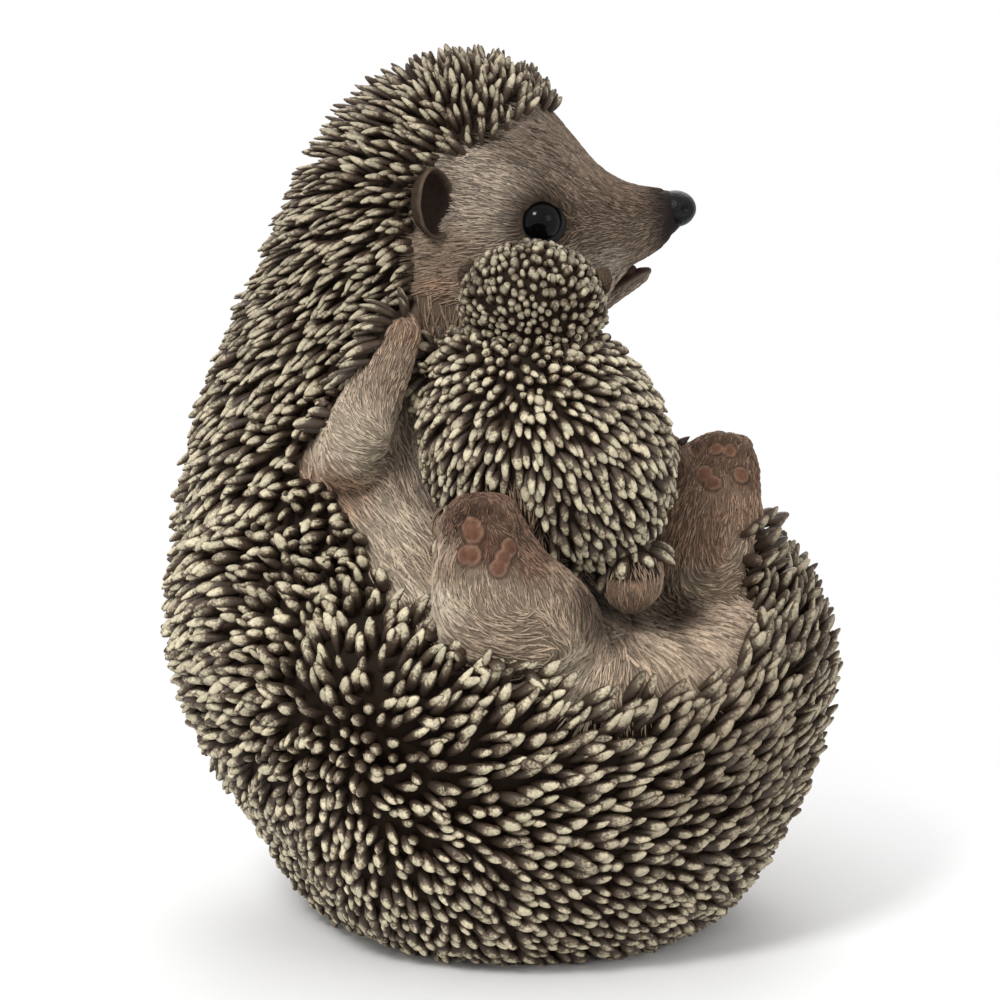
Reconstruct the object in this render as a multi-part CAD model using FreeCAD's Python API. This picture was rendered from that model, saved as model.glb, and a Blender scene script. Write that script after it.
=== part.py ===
import FreeCAD, Part
import math
import os

from FreeCAD import Vector

# A cast figurine of a hedgehog lying back on her rump with her young one on her lap.
# X runs from her back to the open belly, Y from her right side to her left, Z is up.
# The origin is the middle of the flat base. All sizes are in millimetres.

# Mother's body, measured over the skin under the quills
body_reach = 72.0
body_half_width = 70.0
neck_height = 150.0

# Hollow of the lap in which the young one sits
lap_depth = 11.0
lap_radius = 27.0
lap_place_shares = (0.42, -0.36)
lap_foot_shares = (0.42, 0.60)
lap_chest_shares = (0.66, 0.80)

# Mother's head, from the neck joint to the nose
head_length = 92.5
head_rise = 47.7
neck_half_width = 32.0
nose_length = 6.2
eye_radius = 5.2
ear_width = 11.0
ear_height = 17.0
ear_depth = 5.0
jaw_length = 15.0
jaw_width = 15.0

# Mother's limbs, at their thickest
arm_radius = 9.5
leg_radius = 19.0

# Young one's body, head and limbs, under its quills
baby_half_width = 26.0
baby_height = 49.0
baby_head_length = 31.5
baby_head_half_width = 15.0
baby_nose_radius = 2.3
baby_eye_radius = 2.2
baby_ear_width = 7.5
baby_ear_height = 7.5
baby_ear_depth = 3.0
baby_limb_radius = 6.5

# Quills: how far the tips stand off the skin and how far they lean
quill_stand = 6.0
quill_lean = 5.0
crown_stand = 5.6
baby_quill_stand = 4.2
baby_quill_lean = 2.6
baby_crown_stand = 3.2

# Columns and rows of the quill lattices and of the plain skins
body_columns = 46
body_rows = 32
head_columns = 30
head_rows = 19
baby_columns = 24
baby_rows = 14
baby_head_columns = 18
baby_head_rows = 10
limb_columns = 12
limb_rows = 9
trim_columns = 10
trim_rows = 6
ball_columns = 12
ball_rows = 7

# Rows at the foot of a coat that stay plain, and digits to which shared corners are matched
plain_rows = 2
corner_digits = 6

# Share of its height that a faceted ball gives up to the flat at each pole
ball_flat_share = 0.04

# Rings of the body: back x, back z, front x, front z, half width, middle y, rise of her left side
body_ring_shares = (
    (-0.47, 0.000, 0.54, 0.000, 0.510, 0.000, 0.00),
    (-0.64, 0.045, 0.72, 0.040, 0.700, 0.000, 0.00),
    (-0.78, 0.147, 0.86, 0.133, 0.860, 0.000, 0.00),
    (-0.89, 0.253, 0.96, 0.247, 0.940, 0.000, 0.00),
    (-0.96, 0.367, 1.00, 0.360, 0.990, 0.000, 0.02),
    (-0.985, 0.467, 0.98, 0.453, 1.000, 0.000, 0.06),
    (-0.98, 0.547, 0.92, 0.527, 0.960, 0.000, 0.10),
    (-0.965, 0.620, 0.79, 0.580, 0.815, 0.000, 0.13),
    (-0.95, 0.687, 0.625, 0.620, 0.670, 0.010, 0.14),
    (-0.925, 0.753, 0.43, 0.657, 0.586, 0.030, 0.12),
    (-0.875, 0.827, 0.28, 0.707, 0.564, 0.085, 0.08),
    (-0.82, 0.893, 0.21, 0.780, 0.530, 0.115, 0.04),
    (-0.765, 0.953, 0.195, 0.847, 0.490, 0.115, 0.00),
    (-0.715, 1.000, 0.222, 0.893, 0.457, 0.115, 0.00),
)

# Upper edge of the quills round the body: angle from the front in degrees, height
coat_rim_shares = (
    (-180, 1.100), (-118, 1.100), (-110, 0.667), (-103, 0.564), (-90, 0.504), (-78, 0.457),
    (-67, 0.433), (-54, 0.433), (-37, 0.467), (-22, 0.520), (-5, 0.580), (19, 0.600),
    (46, 0.605), (80, 0.690), (105, 0.787), (114, 1.100), (180, 1.100),
)

# Where the quills of the neck begin, in degrees from the front, and from what height
neck_coat_angle = 99
neck_coat_share = 0.87

# Quills grow shorter where the flank folds into the neck
armpit_short_share = 0.55
armpit_shares = (0.60, 0.72)

# Rings of the head after the neck joint: top x, top z, underside x, underside z, half width
head_ring_shares = (
    (0.060, 0.270, 0.773, -0.210, 0.940),
    (0.146, 0.545, 0.805, -0.157, 0.875),
    (0.254, 0.776, 0.832, -0.105, 0.840),
    (0.362, 0.943, 0.838, -0.063, 0.810),
    (0.470, 1.000, 0.843, -0.021, 0.766),
    (0.589, 0.933, 0.870, 0.010, 0.690),
    (0.669, 0.807, 0.892, 0.038, 0.610),
    (0.719, 0.692, 0.914, 0.075, 0.510),
    (0.780, 0.532, 0.935, 0.118, 0.396),
    (0.855, 0.422, 0.954, 0.163, 0.290),
    (0.915, 0.404, 0.955, 0.200, 0.215),
    (0.975, 0.408, 0.977, 0.228, 0.156),
)

# Edge of the quills on the head, in degrees from the underside, ring by ring from the neck
head_coat_angles = (99, 99, 114, 127, 117, 120, 139, 162, 190, 190, 190, 190, 190)

# Centres on the head: x and z as on the rings, y in half widths of the neck from its middle
eye_place_shares = (0.652, -0.67, 0.328)
ear_place_shares = (0.392, -0.84, 0.470)
ear_outward = Vector(0.45, -0.88, 0.10)
ear_upward = Vector(-0.25, 0.0, 1.0)

# Rings of an ear, from its back over the rim into the hollow: girth, rise in ear depths
ear_ring_shares = (
    (0.30, -0.60), (0.72, -0.42), (0.98, 0.00), (0.94, 0.16), (0.78, 0.10), (0.36, -0.16),
)

# Rings of the nose, from its seat: advance in nose lengths, girth in seat sizes
nose_ring_shares = (
    (0.00, 0.92), (0.30, 1.06), (0.62, 0.98), (0.88, 0.66), (1.00, 0.28),
)

# Rings of the lower jaw: along its length, width, thickness
jaw_ring_shares = (
    (-0.30, 0.75, 0.56),
    (0.10, 0.78, 0.54),
    (0.50, 0.62, 0.42),
    (0.85, 0.44, 0.28),
    (1.00, 0.20, 0.13),
)
jaw_start_shares = (0.790, -0.085)
jaw_forward = Vector(0.88, 0.0, 0.48)

# Limbs: x, y, z of each ring, then its half width and its half thickness
arm_right_shares = (
    (-0.42, -0.36, 0.730, 0.80, 0.70),
    (-0.46, -0.44, 0.765, 1.00, 0.85),
    (-0.44, -0.48, 0.805, 0.86, 0.75),
    (-0.40, -0.50, 0.860, 0.65, 0.58),
    (-0.35, -0.50, 0.920, 0.56, 0.50),
    (-0.31, -0.49, 0.963, 0.52, 0.44),
    (-0.28, -0.475, 0.990, 0.24, 0.22),
)
arm_left_shares = (
    (-0.28, 0.52, 0.850, 0.85, 0.80),
    (-0.08, 0.64, 0.815, 0.84, 0.80),
    (0.16, 0.56, 0.765, 0.74, 0.70),
    (0.36, 0.32, 0.735, 0.64, 0.60),
    (0.50, 0.06, 0.728, 0.56, 0.50),
    (0.56, -0.08, 0.730, 0.50, 0.42),
    (0.575, -0.15, 0.732, 0.22, 0.20),
)
leg_right_shares = (
    (0.12, -0.66, 0.490, 0.66, 0.55),
    (0.08, -0.79, 0.525, 0.98, 0.72),
    (0.02, -0.86, 0.575, 0.94, 0.70),
    (-0.03, -0.89, 0.630, 0.70, 0.60),
    (-0.05, -0.89, 0.685, 0.59, 0.50),
    (-0.05, -0.88, 0.725, 0.54, 0.40),
    (-0.05, -0.865, 0.752, 0.28, 0.20),
)
leg_left_shares = (
    (0.61, -0.16, 0.470, 0.50, 0.50),
    (0.63, -0.16, 0.535, 0.66, 0.62),
    (0.655, -0.15, 0.595, 0.66, 0.62),
    (0.67, -0.10, 0.647, 0.62, 0.54),
    (0.70, -0.03, 0.695, 0.58, 0.45),
    (0.735, 0.015, 0.735, 0.48, 0.32),
    (0.745, 0.03, 0.757, 0.24, 0.16),
)

# Young one's body: x and y of each ring, height above its rump, half width, half depth
baby_seat_shares = (0.15, -0.55, 0.626)
baby_ring_shares = (
    (0.170, 0.00, 0.00, 0.30, 0.27),
    (0.130, 0.00, 0.08, 0.62, 0.50),
    (0.050, 0.02, 0.25, 0.89, 0.74),
    (0.000, 0.04, 0.47, 1.00, 0.85),
    (-0.060, 0.06, 0.69, 0.94, 0.81),
    (-0.120, 0.08, 0.86, 0.79, 0.69),
    (-0.230, 0.10, 1.00, 0.58, 0.56),
)

# Bare front of the young one's body, between these angles from the mother's front
baby_front_angles = (35, 145)

# Young one's head: back of the head in half widths and heights of its body from its rump,
# then rings along its length, half width, half height and lift
baby_head_start_shares = (-0.22, -0.38, 1.20)
baby_head_forward = Vector(0.20, 0.95, -0.18)
baby_head_ring_shares = (
    (0.00, 0.34, 0.32, 0.00),
    (0.10, 0.76, 0.68, 0.00),
    (0.26, 0.99, 0.86, 0.00),
    (0.44, 1.00, 0.86, -0.02),
    (0.60, 0.80, 0.70, -0.07),
    (0.75, 0.52, 0.47, -0.14),
    (0.89, 0.34, 0.30, -0.20),
    (0.98, 0.22, 0.20, -0.22),
)
baby_coat_length_share = 0.42
baby_eye_shares = (0.66, 0.66, 0.16)
baby_ear_shares = (0.44, 1.00, 0.40)

# Young one's limbs: x, y and z in half widths of its body from its rump, then the radii
baby_arm_right_shares = (
    (0.30, 0.30, 1.42, 0.80, 0.70),
    (0.46, 0.56, 1.36, 0.86, 0.74),
    (0.42, 0.84, 1.38, 0.62, 0.55),
    (0.30, 1.02, 1.44, 0.42, 0.36),
)
baby_arm_left_shares = (
    (-0.80, 0.28, 1.16, 0.70, 0.66),
    (-0.92, 0.27, 1.39, 0.76, 0.70),
    (-0.96, 0.28, 1.62, 0.64, 0.58),
    (-0.94, 0.30, 1.81, 0.34, 0.30),
)
baby_leg_right_shares = (
    (0.48, -0.02, 0.12, 0.80, 0.80),
    (0.68, -0.10, 0.00, 1.00, 1.00),
    (0.76, -0.16, -0.16, 0.98, 0.96),
    (0.79, -0.18, -0.30, 0.55, 0.55),
)
baby_leg_left_shares = (
    (-0.40, -0.02, 0.40, 0.80, 0.80),
    (-0.66, -0.10, 0.34, 1.00, 0.96),
    (-0.84, -0.20, 0.26, 0.88, 0.84),
    (-0.94, -0.26, 0.22, 0.50, 0.46),
)

# Combing of the quills: the line from which the lower coat parts, and where the neck takes over
part_line_shares = (-0.54, 0.37)
part_reach_share = 0.45
neck_comb = Vector(-0.75, 0.0, -0.60)
neck_comb_shares = (0.64, 0.85)
crown_comb_shares = (1.10, 1.26)
crown_middle_share = 0.45
crown_reach_share = 0.30


def newell(loop):
    """Normal of a loop of points, counter-clockwise about it."""
    total = Vector(0, 0, 0)
    for index, point in enumerate(loop):
        total += point.cross(loop[(index + 1) % len(loop)])
    return total


def faceted_solid(loops):
    """Closed solid from flat loops of points, each counter-clockwise seen from outside."""
    vertices = {}
    edges = {}

    def corner(point):
        key = tuple(round(value, corner_digits) for value in point)
        if key not in vertices:
            vertices[key] = Part.Vertex(point)
        return key

    def edge(start, end):
        key = (min(start, end), max(start, end))
        if key not in edges:
            edges[key] = Part.Edge(vertices[key[0]], vertices[key[1]])
        return edges[key]

    faces = []
    for loop in loops:
        keys = [corner(point) for point in loop]
        sides = [edge(key, keys[(index + 1) % len(keys)]) for index, key in enumerate(keys)]
        face = Part.Face(Part.Wire(sides))
        if face.normalAt(0, 0).dot(newell(loop)) < 0:
            face.reverse()
        faces.append(face)
    return Part.Solid(Part.Shell(faces))


def between(values, place):
    """Value of a smooth line through the values at a place counted along them."""
    index = min(int(place), len(values) - 2)
    share = place - index
    start, end = values[index], values[index + 1]
    before = values[index - 1] if index else start + (start - end)
    after = values[index + 2] if index + 2 < len(values) else end + (end - start)
    return (start * 2 + (end - before) * share
            + (before * 2 - start * 5 + end * 4 - after) * share ** 2
            + (start * 3 - before - end * 3 + after) * share ** 3) * 0.5


def spaced_places(rings, count):
    """Places along the rings that divide the run of their outlines evenly."""
    travelled = [0.0]
    for first, second in zip(rings, rings[1:]):
        near = (second[0] + second[1] - first[0] - first[1]).Length
        far = (second[0] - second[1] - first[0] + first[1]).Length
        travelled.append(travelled[-1] + near + far)
    places = []
    for step in range(count + 1):
        target = travelled[-1] * step / count
        index = 0
        while index < len(rings) - 2 and travelled[index + 1] < target:
            index += 1
        run = travelled[index + 1] - travelled[index]
        places.append(min(index + (target - travelled[index]) / run, len(rings) - 1))
    return places


def refined(rings, count):
    """Smoothly spaced rings through the given ones, with the place of each."""
    places = spaced_places(rings, count)
    parts = [[ring[part] for ring in rings] for part in range(3)]
    return [tuple(between(values, place) for values in parts) for place in places], places


def plain_point(point):
    return point


def ring_skin(rings, columns, tip=None, settle=plain_point):
    """Solid skin over rings of (middle, half length, half width), in staggered diamonds.

    Every diamond stays flat or rises to the quill tip that tip(corners, angle, row) gives.
    """
    rows = []
    for index, (middle, long_half, wide_half) in enumerate(rings):
        row = []
        for column in range(columns):
            angle = 2 * math.pi * (column + 0.5 * (index % 2)) / columns
            point = middle + long_half * math.cos(angle) + wide_half * math.sin(angle)
            row.append(settle(point))
        rows.append(row)
    last = len(rows) - 1
    loops = [tuple(reversed(rows[0])), tuple(rows[last])]
    for column in range(columns):
        following = (column + 1) % columns
        loops.append((rows[0][column], rows[0][following], rows[1][column]))
        inner = following if last % 2 else column
        loops.append((rows[last][following], rows[last][column], rows[last - 1][inner]))
    for index in range(1, last):
        for column in range(columns):
            following = (column + 1) % columns
            inner = following if index % 2 else column
            left, right = rows[index][column], rows[index][following]
            low, high = rows[index - 1][inner], rows[index + 1][inner]
            angle = 360.0 * (column + 0.5 * (index % 2) + 0.5) / columns
            angle -= 360.0 * (angle > 180)
            point = tip((left, right, low, high), angle, index) if tip else None
            if point is None:
                loops += [(left, low, high), (low, right, high)]
            else:
                loops += [(left, low, point), (low, right, point)]
                loops += [(right, high, point), (high, left, point)]
    return faceted_solid(loops)


def unit(vector):
    return vector / vector.Length


def smooth_step(value, low, high):
    share = min(max((value - low) / (high - low), 0), 1)
    return share * share * (3 - 2 * share)


def on_line(table, place):
    """Straight interpolation in a table of (place, value) pairs."""
    for (start, low), (end, high) in zip(table, table[1:]):
        if place <= end:
            return low + (high - low) * (place - start) / (end - start)
    return table[-1][1]


def combing(point):
    """Way in which the mother's quills lean at a point, at most about one long."""
    parting = Vector(part_line_shares[0] * body_reach, 0, part_line_shares[1] * neck_height)
    lower = Vector(point.x - parting.x, 0, point.z - parting.z) / (part_reach_share * body_reach)
    if lower.Length > 1:
        lower = unit(lower)
    start, end = neck_comb_shares
    upper_part = smooth_step(point.z, start * neck_height, end * neck_height)
    start, end = crown_comb_shares
    crown_part = smooth_step(point.z, start * neck_height, end * neck_height)
    middle = neck_back.x + crown_middle_share * head_length
    crown = Vector((point.x - middle) / (crown_reach_share * head_length), 0, 0)
    upper = neck_comb * (1 - crown_part) + crown * crown_part
    return lower * (1 - upper_part) + upper * upper_part


def quill_tip(corners, stand, lean, comb):
    """Tip of a quill that grows from the middle of a diamond."""
    left, right, low, high = corners
    middle = (left + right + low + high) * 0.25
    outward = unit((right - left).cross(high - low))
    sideways = comb - outward * comb.dot(outward)
    return middle + outward * stand + sideways * lean


def limb(shares, reach, depth, height, radius, side, start=Vector(0, 0, 0)):
    """Solid limb along rings given in shares of the body that carries it."""
    places = [start + Vector(x * reach, y * depth, z * height) for x, y, z, _, _ in shares]
    rings = []
    for index, (_, _, _, wide, thick) in enumerate(shares):
        ahead = places[min(index + 1, len(places) - 1)]
        behind = places[max(index - 1, 0)]
        along = unit(ahead - behind)
        across = unit(side - along * side.dot(along))
        rings.append((places[index], across * wide * radius, along.cross(across) * thick * radius))
    return ring_skin(refined(rings, limb_rows)[0], limb_columns)


def ball(middle, radius):
    """Faceted ball."""
    rings = []
    for step in range(ball_rows + 1):
        tilt = math.pi * (ball_flat_share + (1 - 2 * ball_flat_share) * step / ball_rows)
        level = middle - Vector(0, 0, radius * math.cos(tilt))
        girth = radius * math.sin(tilt)
        rings.append((level, Vector(girth, 0, 0), Vector(0, girth, 0)))
    return ring_skin(rings, ball_columns)


def cup(middle, outward, upward, width, height, depth):
    """Ear: a shallow cup that opens outward, from the back of the ear to its hollow."""
    out = unit(outward)
    up = unit(upward - out * upward.dot(out))
    side = up.cross(out)
    rings = []
    for girth, lift in ear_ring_shares:
        place = middle + out * lift * depth
        rings.append((place, side * girth * width / 2, -up * girth * height / 2))
    return ring_skin(rings, trim_columns)


def largest(shape):
    """Largest solid of a cut, so that no chip is left beside it."""
    return max(shape.Solids, key=lambda solid: solid.Volume)


def seated(shape, *carriers):
    """A piece cut to the surface of the pieces that carry it."""
    for carrier in carriers:
        if shape.BoundBox.intersect(carrier.BoundBox):
            shape = largest(shape.cut(carrier))
    return shape


def mirrored(place):
    """A place on the other side of the mother's head."""
    return Vector(place.x, 2 * neck_middle_y - place.y, place.z)


def turned(direction):
    """A direction on the other side of the mother's head."""
    return Vector(direction.x, -direction.y, direction.z)


# Rings of the mother's body, and the joint between neck and head
body_rings = []
for back_x, back_z, front_x, front_z, width, middle, rise in body_ring_shares:
    back = Vector(back_x * body_reach, middle * body_half_width, back_z * neck_height)
    front = Vector(front_x * body_reach, middle * body_half_width, front_z * neck_height)
    half_width = width * body_half_width
    body_rings.append(((back + front) / 2, (front - back) / 2, Vector(0, half_width, rise * half_width)))
neck_back = body_rings[-1][0] - body_rings[-1][1]
neck_middle_y = neck_back.y
lap_middle = Vector(lap_place_shares[0] * body_reach, lap_place_shares[1] * body_half_width, 0)


def hollowed(point):
    """Body skin pressed in where the young one sits."""
    away = math.hypot(point.x - lap_middle.x, point.y - lap_middle.y) / lap_radius
    level = point.z / neck_height
    fade = smooth_step(level, *lap_foot_shares) * (1 - smooth_step(level, *lap_chest_shares))
    return point - Vector(0, 0, lap_depth * math.exp(-away * away) * fade)


def body_tip(corners, angle, index):
    middle = (corners[0] + corners[1]) / 2
    below_rim = middle.z < on_line(coat_rim_shares, angle) * neck_height
    on_neck = abs(angle) > neck_coat_angle and middle.z > neck_coat_share * neck_height
    if not (below_rim or on_neck):
        return None
    if index < plain_rows:
        return None
    shorter = 1 - armpit_short_share * smooth_step(middle.z / neck_height, *armpit_shares) * (not on_neck)
    return quill_tip(corners, quill_stand * shorter, quill_lean * shorter, combing(middle))


mother_body = ring_skin(refined(body_rings, body_rows)[0], body_columns, body_tip, hollowed)

# Rings of the mother's head, from the neck joint to the seat of the nose
neck_wide = Vector(0, neck_half_width, 0)
head_rings = [(body_rings[-1][0], body_rings[-1][1], neck_wide)]
for top_x, top_z, under_x, under_z, width in head_ring_shares:
    top = neck_back + Vector(top_x * head_length, 0, top_z * head_rise)
    under = neck_back + Vector(under_x * head_length, 0, under_z * head_rise)
    head_rings.append(((top + under) / 2, (under - top) / 2, neck_wide * width))
head_skin, head_places = refined(head_rings, head_rows)


def head_tip(corners, angle, index):
    edge_angle = on_line(list(enumerate(head_coat_angles)), head_places[index])
    if abs(angle) < edge_angle:
        return None
    middle = (corners[0] + corners[1]) / 2
    return quill_tip(corners, crown_stand, quill_lean, combing(middle))


def on_head(place_shares):
    """Place on the near side of the mother's head."""
    x, y, z = place_shares
    return neck_back + Vector(x * head_length, y * neck_half_width, z * head_rise)


head_blank = ring_skin(head_skin, head_columns, head_tip)

# Eyes: balls set into sockets of the head
eye_middle = on_head(eye_place_shares)
mother_eye_right = ball(eye_middle, eye_radius)
mother_eye_left = ball(mirrored(eye_middle), eye_radius)
mother_head = seated(head_blank, mother_eye_right, mother_eye_left)

# Ears: cups on the sides of the head
ear_middle = on_head(ear_place_shares)
mother_ear_right = cup(ear_middle, ear_outward, ear_upward, ear_width, ear_height, ear_depth)
mother_ear_left = cup(mirrored(ear_middle), turned(ear_outward), ear_upward,
                      ear_width, ear_height, ear_depth)
mother_ear_right = seated(mother_ear_right, mother_head)
mother_ear_left = seated(mother_ear_left, mother_head)

# Nose: a rounded pad on the last ring of the snout
seat_middle, seat_long, seat_wide = head_rings[-1]
nose_forward = unit(seat_long.cross(seat_wide))
nose_rings = []
for advance, girth in nose_ring_shares:
    place = seat_middle + nose_forward * advance * nose_length
    nose_rings.append((place, seat_long * girth, seat_wide * girth))
mother_nose = ring_skin(nose_rings, trim_columns)

# Lower jaw: a short tapering piece under the open mouth
jaw_start = neck_back + Vector(jaw_start_shares[0] * head_length, 0, jaw_start_shares[1] * head_rise)
jaw_along = unit(jaw_forward)
jaw_up = Vector(0, 1, 0).cross(jaw_along) * -1
jaw_rings = []
for along, wide, thick in jaw_ring_shares:
    place = jaw_start + jaw_along * along * jaw_length
    jaw_rings.append((place, jaw_up * -thick * jaw_width / 2, Vector(0, wide * jaw_width / 2, 0)))
mother_jaw = seated(ring_skin(refined(jaw_rings, trim_rows)[0], trim_columns), mother_head)

# Mother's limbs
along_x = Vector(1, 0, 0)
along_z = Vector(0, 0, 1)
body_scale = (body_reach, body_half_width, neck_height)
mother_leg_right = seated(limb(leg_right_shares, *body_scale, leg_radius, along_x), mother_body)
mother_leg_left = seated(limb(leg_left_shares, *body_scale, leg_radius, along_x), mother_body)
mother_arm_right = seated(limb(arm_right_shares, *body_scale, arm_radius, along_x),
                          mother_body, mother_head)
mother_arm_left = seated(limb(arm_left_shares, *body_scale, arm_radius, along_z),
                         mother_body, mother_head, mother_leg_left)

# Young one's body
baby_seat = Vector(baby_seat_shares[0] * body_reach, baby_seat_shares[1] * body_half_width,
                   baby_seat_shares[2] * neck_height)
baby_rings = []
for x, y, height, wide, deep in baby_ring_shares:
    place = baby_seat + Vector(x * baby_half_width, y * baby_half_width, height * baby_height)
    baby_rings.append((place, Vector(wide * baby_half_width, 0, 0), Vector(0, deep * baby_half_width, 0)))
baby_top = baby_rings[-1][0]


def baby_tip(corners, angle, index):
    start, end = baby_front_angles
    if start < angle < end or index < plain_rows:
        return None
    middle = (corners[0] + corners[1]) / 2
    comb = (middle - baby_top) / baby_half_width
    if comb.Length > 1:
        comb = unit(comb)
    return quill_tip(corners, baby_quill_stand, baby_quill_lean, comb)


baby_body = ring_skin(refined(baby_rings, baby_rows)[0], baby_columns, baby_tip)
baby_body = seated(baby_body, mother_body, mother_leg_right, mother_leg_left,
                   mother_arm_right, mother_arm_left)

# Young one's head, turned away from the front of the mother's lap
baby_forward = unit(baby_head_forward)
baby_across = unit(Vector(0, 0, 1).cross(baby_forward)) * -1
baby_upward = baby_across.cross(baby_forward)
back_x, back_y, back_z = baby_head_start_shares
baby_head_back = baby_seat + Vector(back_x * baby_half_width, back_y * baby_half_width, back_z * baby_height)


def on_baby_head(along, across, lift):
    """Place on the young one's head: shares of its length and of its half width."""
    return (baby_head_back + baby_forward * along * baby_head_length
            + baby_across * across * baby_head_half_width + baby_upward * lift * baby_head_half_width)


baby_head_rings = []
for along, wide, high, lift in baby_head_ring_shares:
    place = on_baby_head(along, 0, lift)
    across = baby_across * wide * baby_head_half_width
    upward = baby_forward.cross(baby_across) * high * baby_head_half_width
    baby_head_rings.append((place, across, upward))
baby_head_skin = refined(baby_head_rings, baby_head_rows)[0]


def baby_head_tip(corners, angle, index):
    middle = (corners[0] + corners[1]) / 2
    along = (middle - baby_head_back).dot(baby_forward) / baby_head_length
    if along > baby_coat_length_share:
        return None
    return quill_tip(corners, baby_crown_stand, baby_quill_lean, Vector(0, 0, 0))


baby_head_blank = ring_skin(baby_head_skin, baby_head_columns, baby_head_tip)
along, across, lift = baby_eye_shares
baby_eye_right = ball(on_baby_head(along, across, lift), baby_eye_radius)
baby_eye_left = ball(on_baby_head(along, -across, lift), baby_eye_radius)
baby_head = seated(baby_head_blank, mother_body, mother_head, mother_arm_right, baby_body,
                   baby_eye_right, baby_eye_left)
baby_eye_right = seated(baby_eye_right, mother_head)
baby_eye_left = seated(baby_eye_left, mother_head)

along, across, lift = baby_ear_shares
baby_ear_right = cup(on_baby_head(along, across, lift), baby_across + baby_forward, Vector(0, 0, 1),
                     baby_ear_width, baby_ear_height, baby_ear_depth)
baby_ear_left = cup(on_baby_head(along, -across, lift), baby_forward - baby_across, Vector(0, 0, 1),
                    baby_ear_width, baby_ear_height, baby_ear_depth)
baby_ear_right = seated(baby_ear_right, baby_head, mother_head)
baby_ear_left = seated(baby_ear_left, baby_head, mother_head)
baby_nose = seated(ball(on_baby_head(1, 0, baby_head_ring_shares[-1][3]), baby_nose_radius),
                   baby_head, mother_head, mother_body)

# Young one's limbs
baby_scale = (baby_half_width, baby_half_width, baby_half_width)
baby_carriers = (mother_body, mother_head, mother_leg_right, mother_leg_left,
                 mother_arm_right, mother_arm_left, baby_body, baby_head)
baby_limbs = {}
for name, shares in (("baby_arm_right", baby_arm_right_shares), ("baby_arm_left", baby_arm_left_shares),
                     ("baby_leg_right", baby_leg_right_shares), ("baby_leg_left", baby_leg_left_shares)):
    blank = limb(shares, *baby_scale, baby_limb_radius, along_x, baby_seat)
    baby_limbs[name] = seated(blank, *baby_carriers)

pieces = {
    "mother_body": mother_body,
    "mother_head": mother_head,
    "mother_jaw": mother_jaw,
    "mother_nose": mother_nose,
    "mother_ear_right": mother_ear_right,
    "mother_ear_left": mother_ear_left,
    "mother_eye_right": mother_eye_right,
    "mother_eye_left": mother_eye_left,
    "mother_arm_right": mother_arm_right,
    "mother_arm_left": mother_arm_left,
    "mother_leg_right": mother_leg_right,
    "mother_leg_left": mother_leg_left,
    "baby_body": baby_body,
    "baby_head": baby_head,
    "baby_nose": baby_nose,
    "baby_ear_right": baby_ear_right,
    "baby_ear_left": baby_ear_left,
    "baby_eye_right": baby_eye_right,
    "baby_eye_left": baby_eye_left,
    **baby_limbs,
}

os.makedirs("parts", exist_ok=True)
for name, shape in pieces.items():
    shape.exportStep(os.path.join("parts", name + ".step"))
    print(name, shape.ShapeType, shape.isValid(), len(shape.Faces), round(shape.Volume, 1))
print("faces", sum(len(shape.Faces) for shape in pieces.values()))
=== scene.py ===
import math

import bmesh
import bpy
import numpy as np
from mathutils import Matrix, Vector
from mathutils.bvhtree import BVHTree
from mathutils.kdtree import KDTree


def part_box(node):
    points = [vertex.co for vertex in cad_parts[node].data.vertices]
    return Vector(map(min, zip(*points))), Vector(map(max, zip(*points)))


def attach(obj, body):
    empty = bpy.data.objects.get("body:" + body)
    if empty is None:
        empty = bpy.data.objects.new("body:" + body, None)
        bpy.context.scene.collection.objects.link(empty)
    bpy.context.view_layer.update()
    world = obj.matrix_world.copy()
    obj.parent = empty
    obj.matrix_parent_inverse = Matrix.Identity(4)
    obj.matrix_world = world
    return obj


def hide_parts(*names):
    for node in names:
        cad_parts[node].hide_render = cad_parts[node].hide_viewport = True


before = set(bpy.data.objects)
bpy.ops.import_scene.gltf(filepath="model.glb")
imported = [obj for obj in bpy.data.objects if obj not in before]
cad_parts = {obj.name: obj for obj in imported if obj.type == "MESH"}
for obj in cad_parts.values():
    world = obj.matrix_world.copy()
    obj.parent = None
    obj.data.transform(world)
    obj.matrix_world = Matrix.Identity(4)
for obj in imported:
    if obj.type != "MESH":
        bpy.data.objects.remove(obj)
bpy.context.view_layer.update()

MM = 0.001
rng = np.random.default_rng(11)

# Camera: the photograph's 1000 pixel frame at this many millimetres to a pixel
FRAME_PIXELS = 1000
MM_PER_PIXEL = 0.23
CAMERA_ELEVATION = 12
CAMERA_LENS = 200
SENSOR = 36
FLOOR_PIXEL = 919

EYE_TILT = math.radians(CAMERA_ELEVATION)
AIM_HEIGHT = (FLOOR_PIXEL - FRAME_PIXELS / 2) * MM_PER_PIXEL * MM / math.cos(EYE_TILT)
CAMERA_REACH = FRAME_PIXELS * MM_PER_PIXEL * MM * CAMERA_LENS / SENSOR
SIGHT = np.array((0, math.cos(EYE_TILT), -math.sin(EYE_TILT)))
RIGHTWARD = np.array((1.0, 0, 0))
UPWARD = np.cross(RIGHTWARD, SIGHT)
AIM = np.array((0, 0, AIM_HEIGHT))
STATION = AIM - SIGHT * CAMERA_REACH


def photo_places(points):
    """Column and row of the photograph at which each point is seen."""
    away = points - STATION
    depth = away @ SIGHT
    scale = CAMERA_REACH / depth / (MM_PER_PIXEL * MM)
    return np.stack([FRAME_PIXELS / 2 + away @ RIGHTWARD * scale,
                     FRAME_PIXELS / 2 - away @ UPWARD * scale], axis=1)


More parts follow.
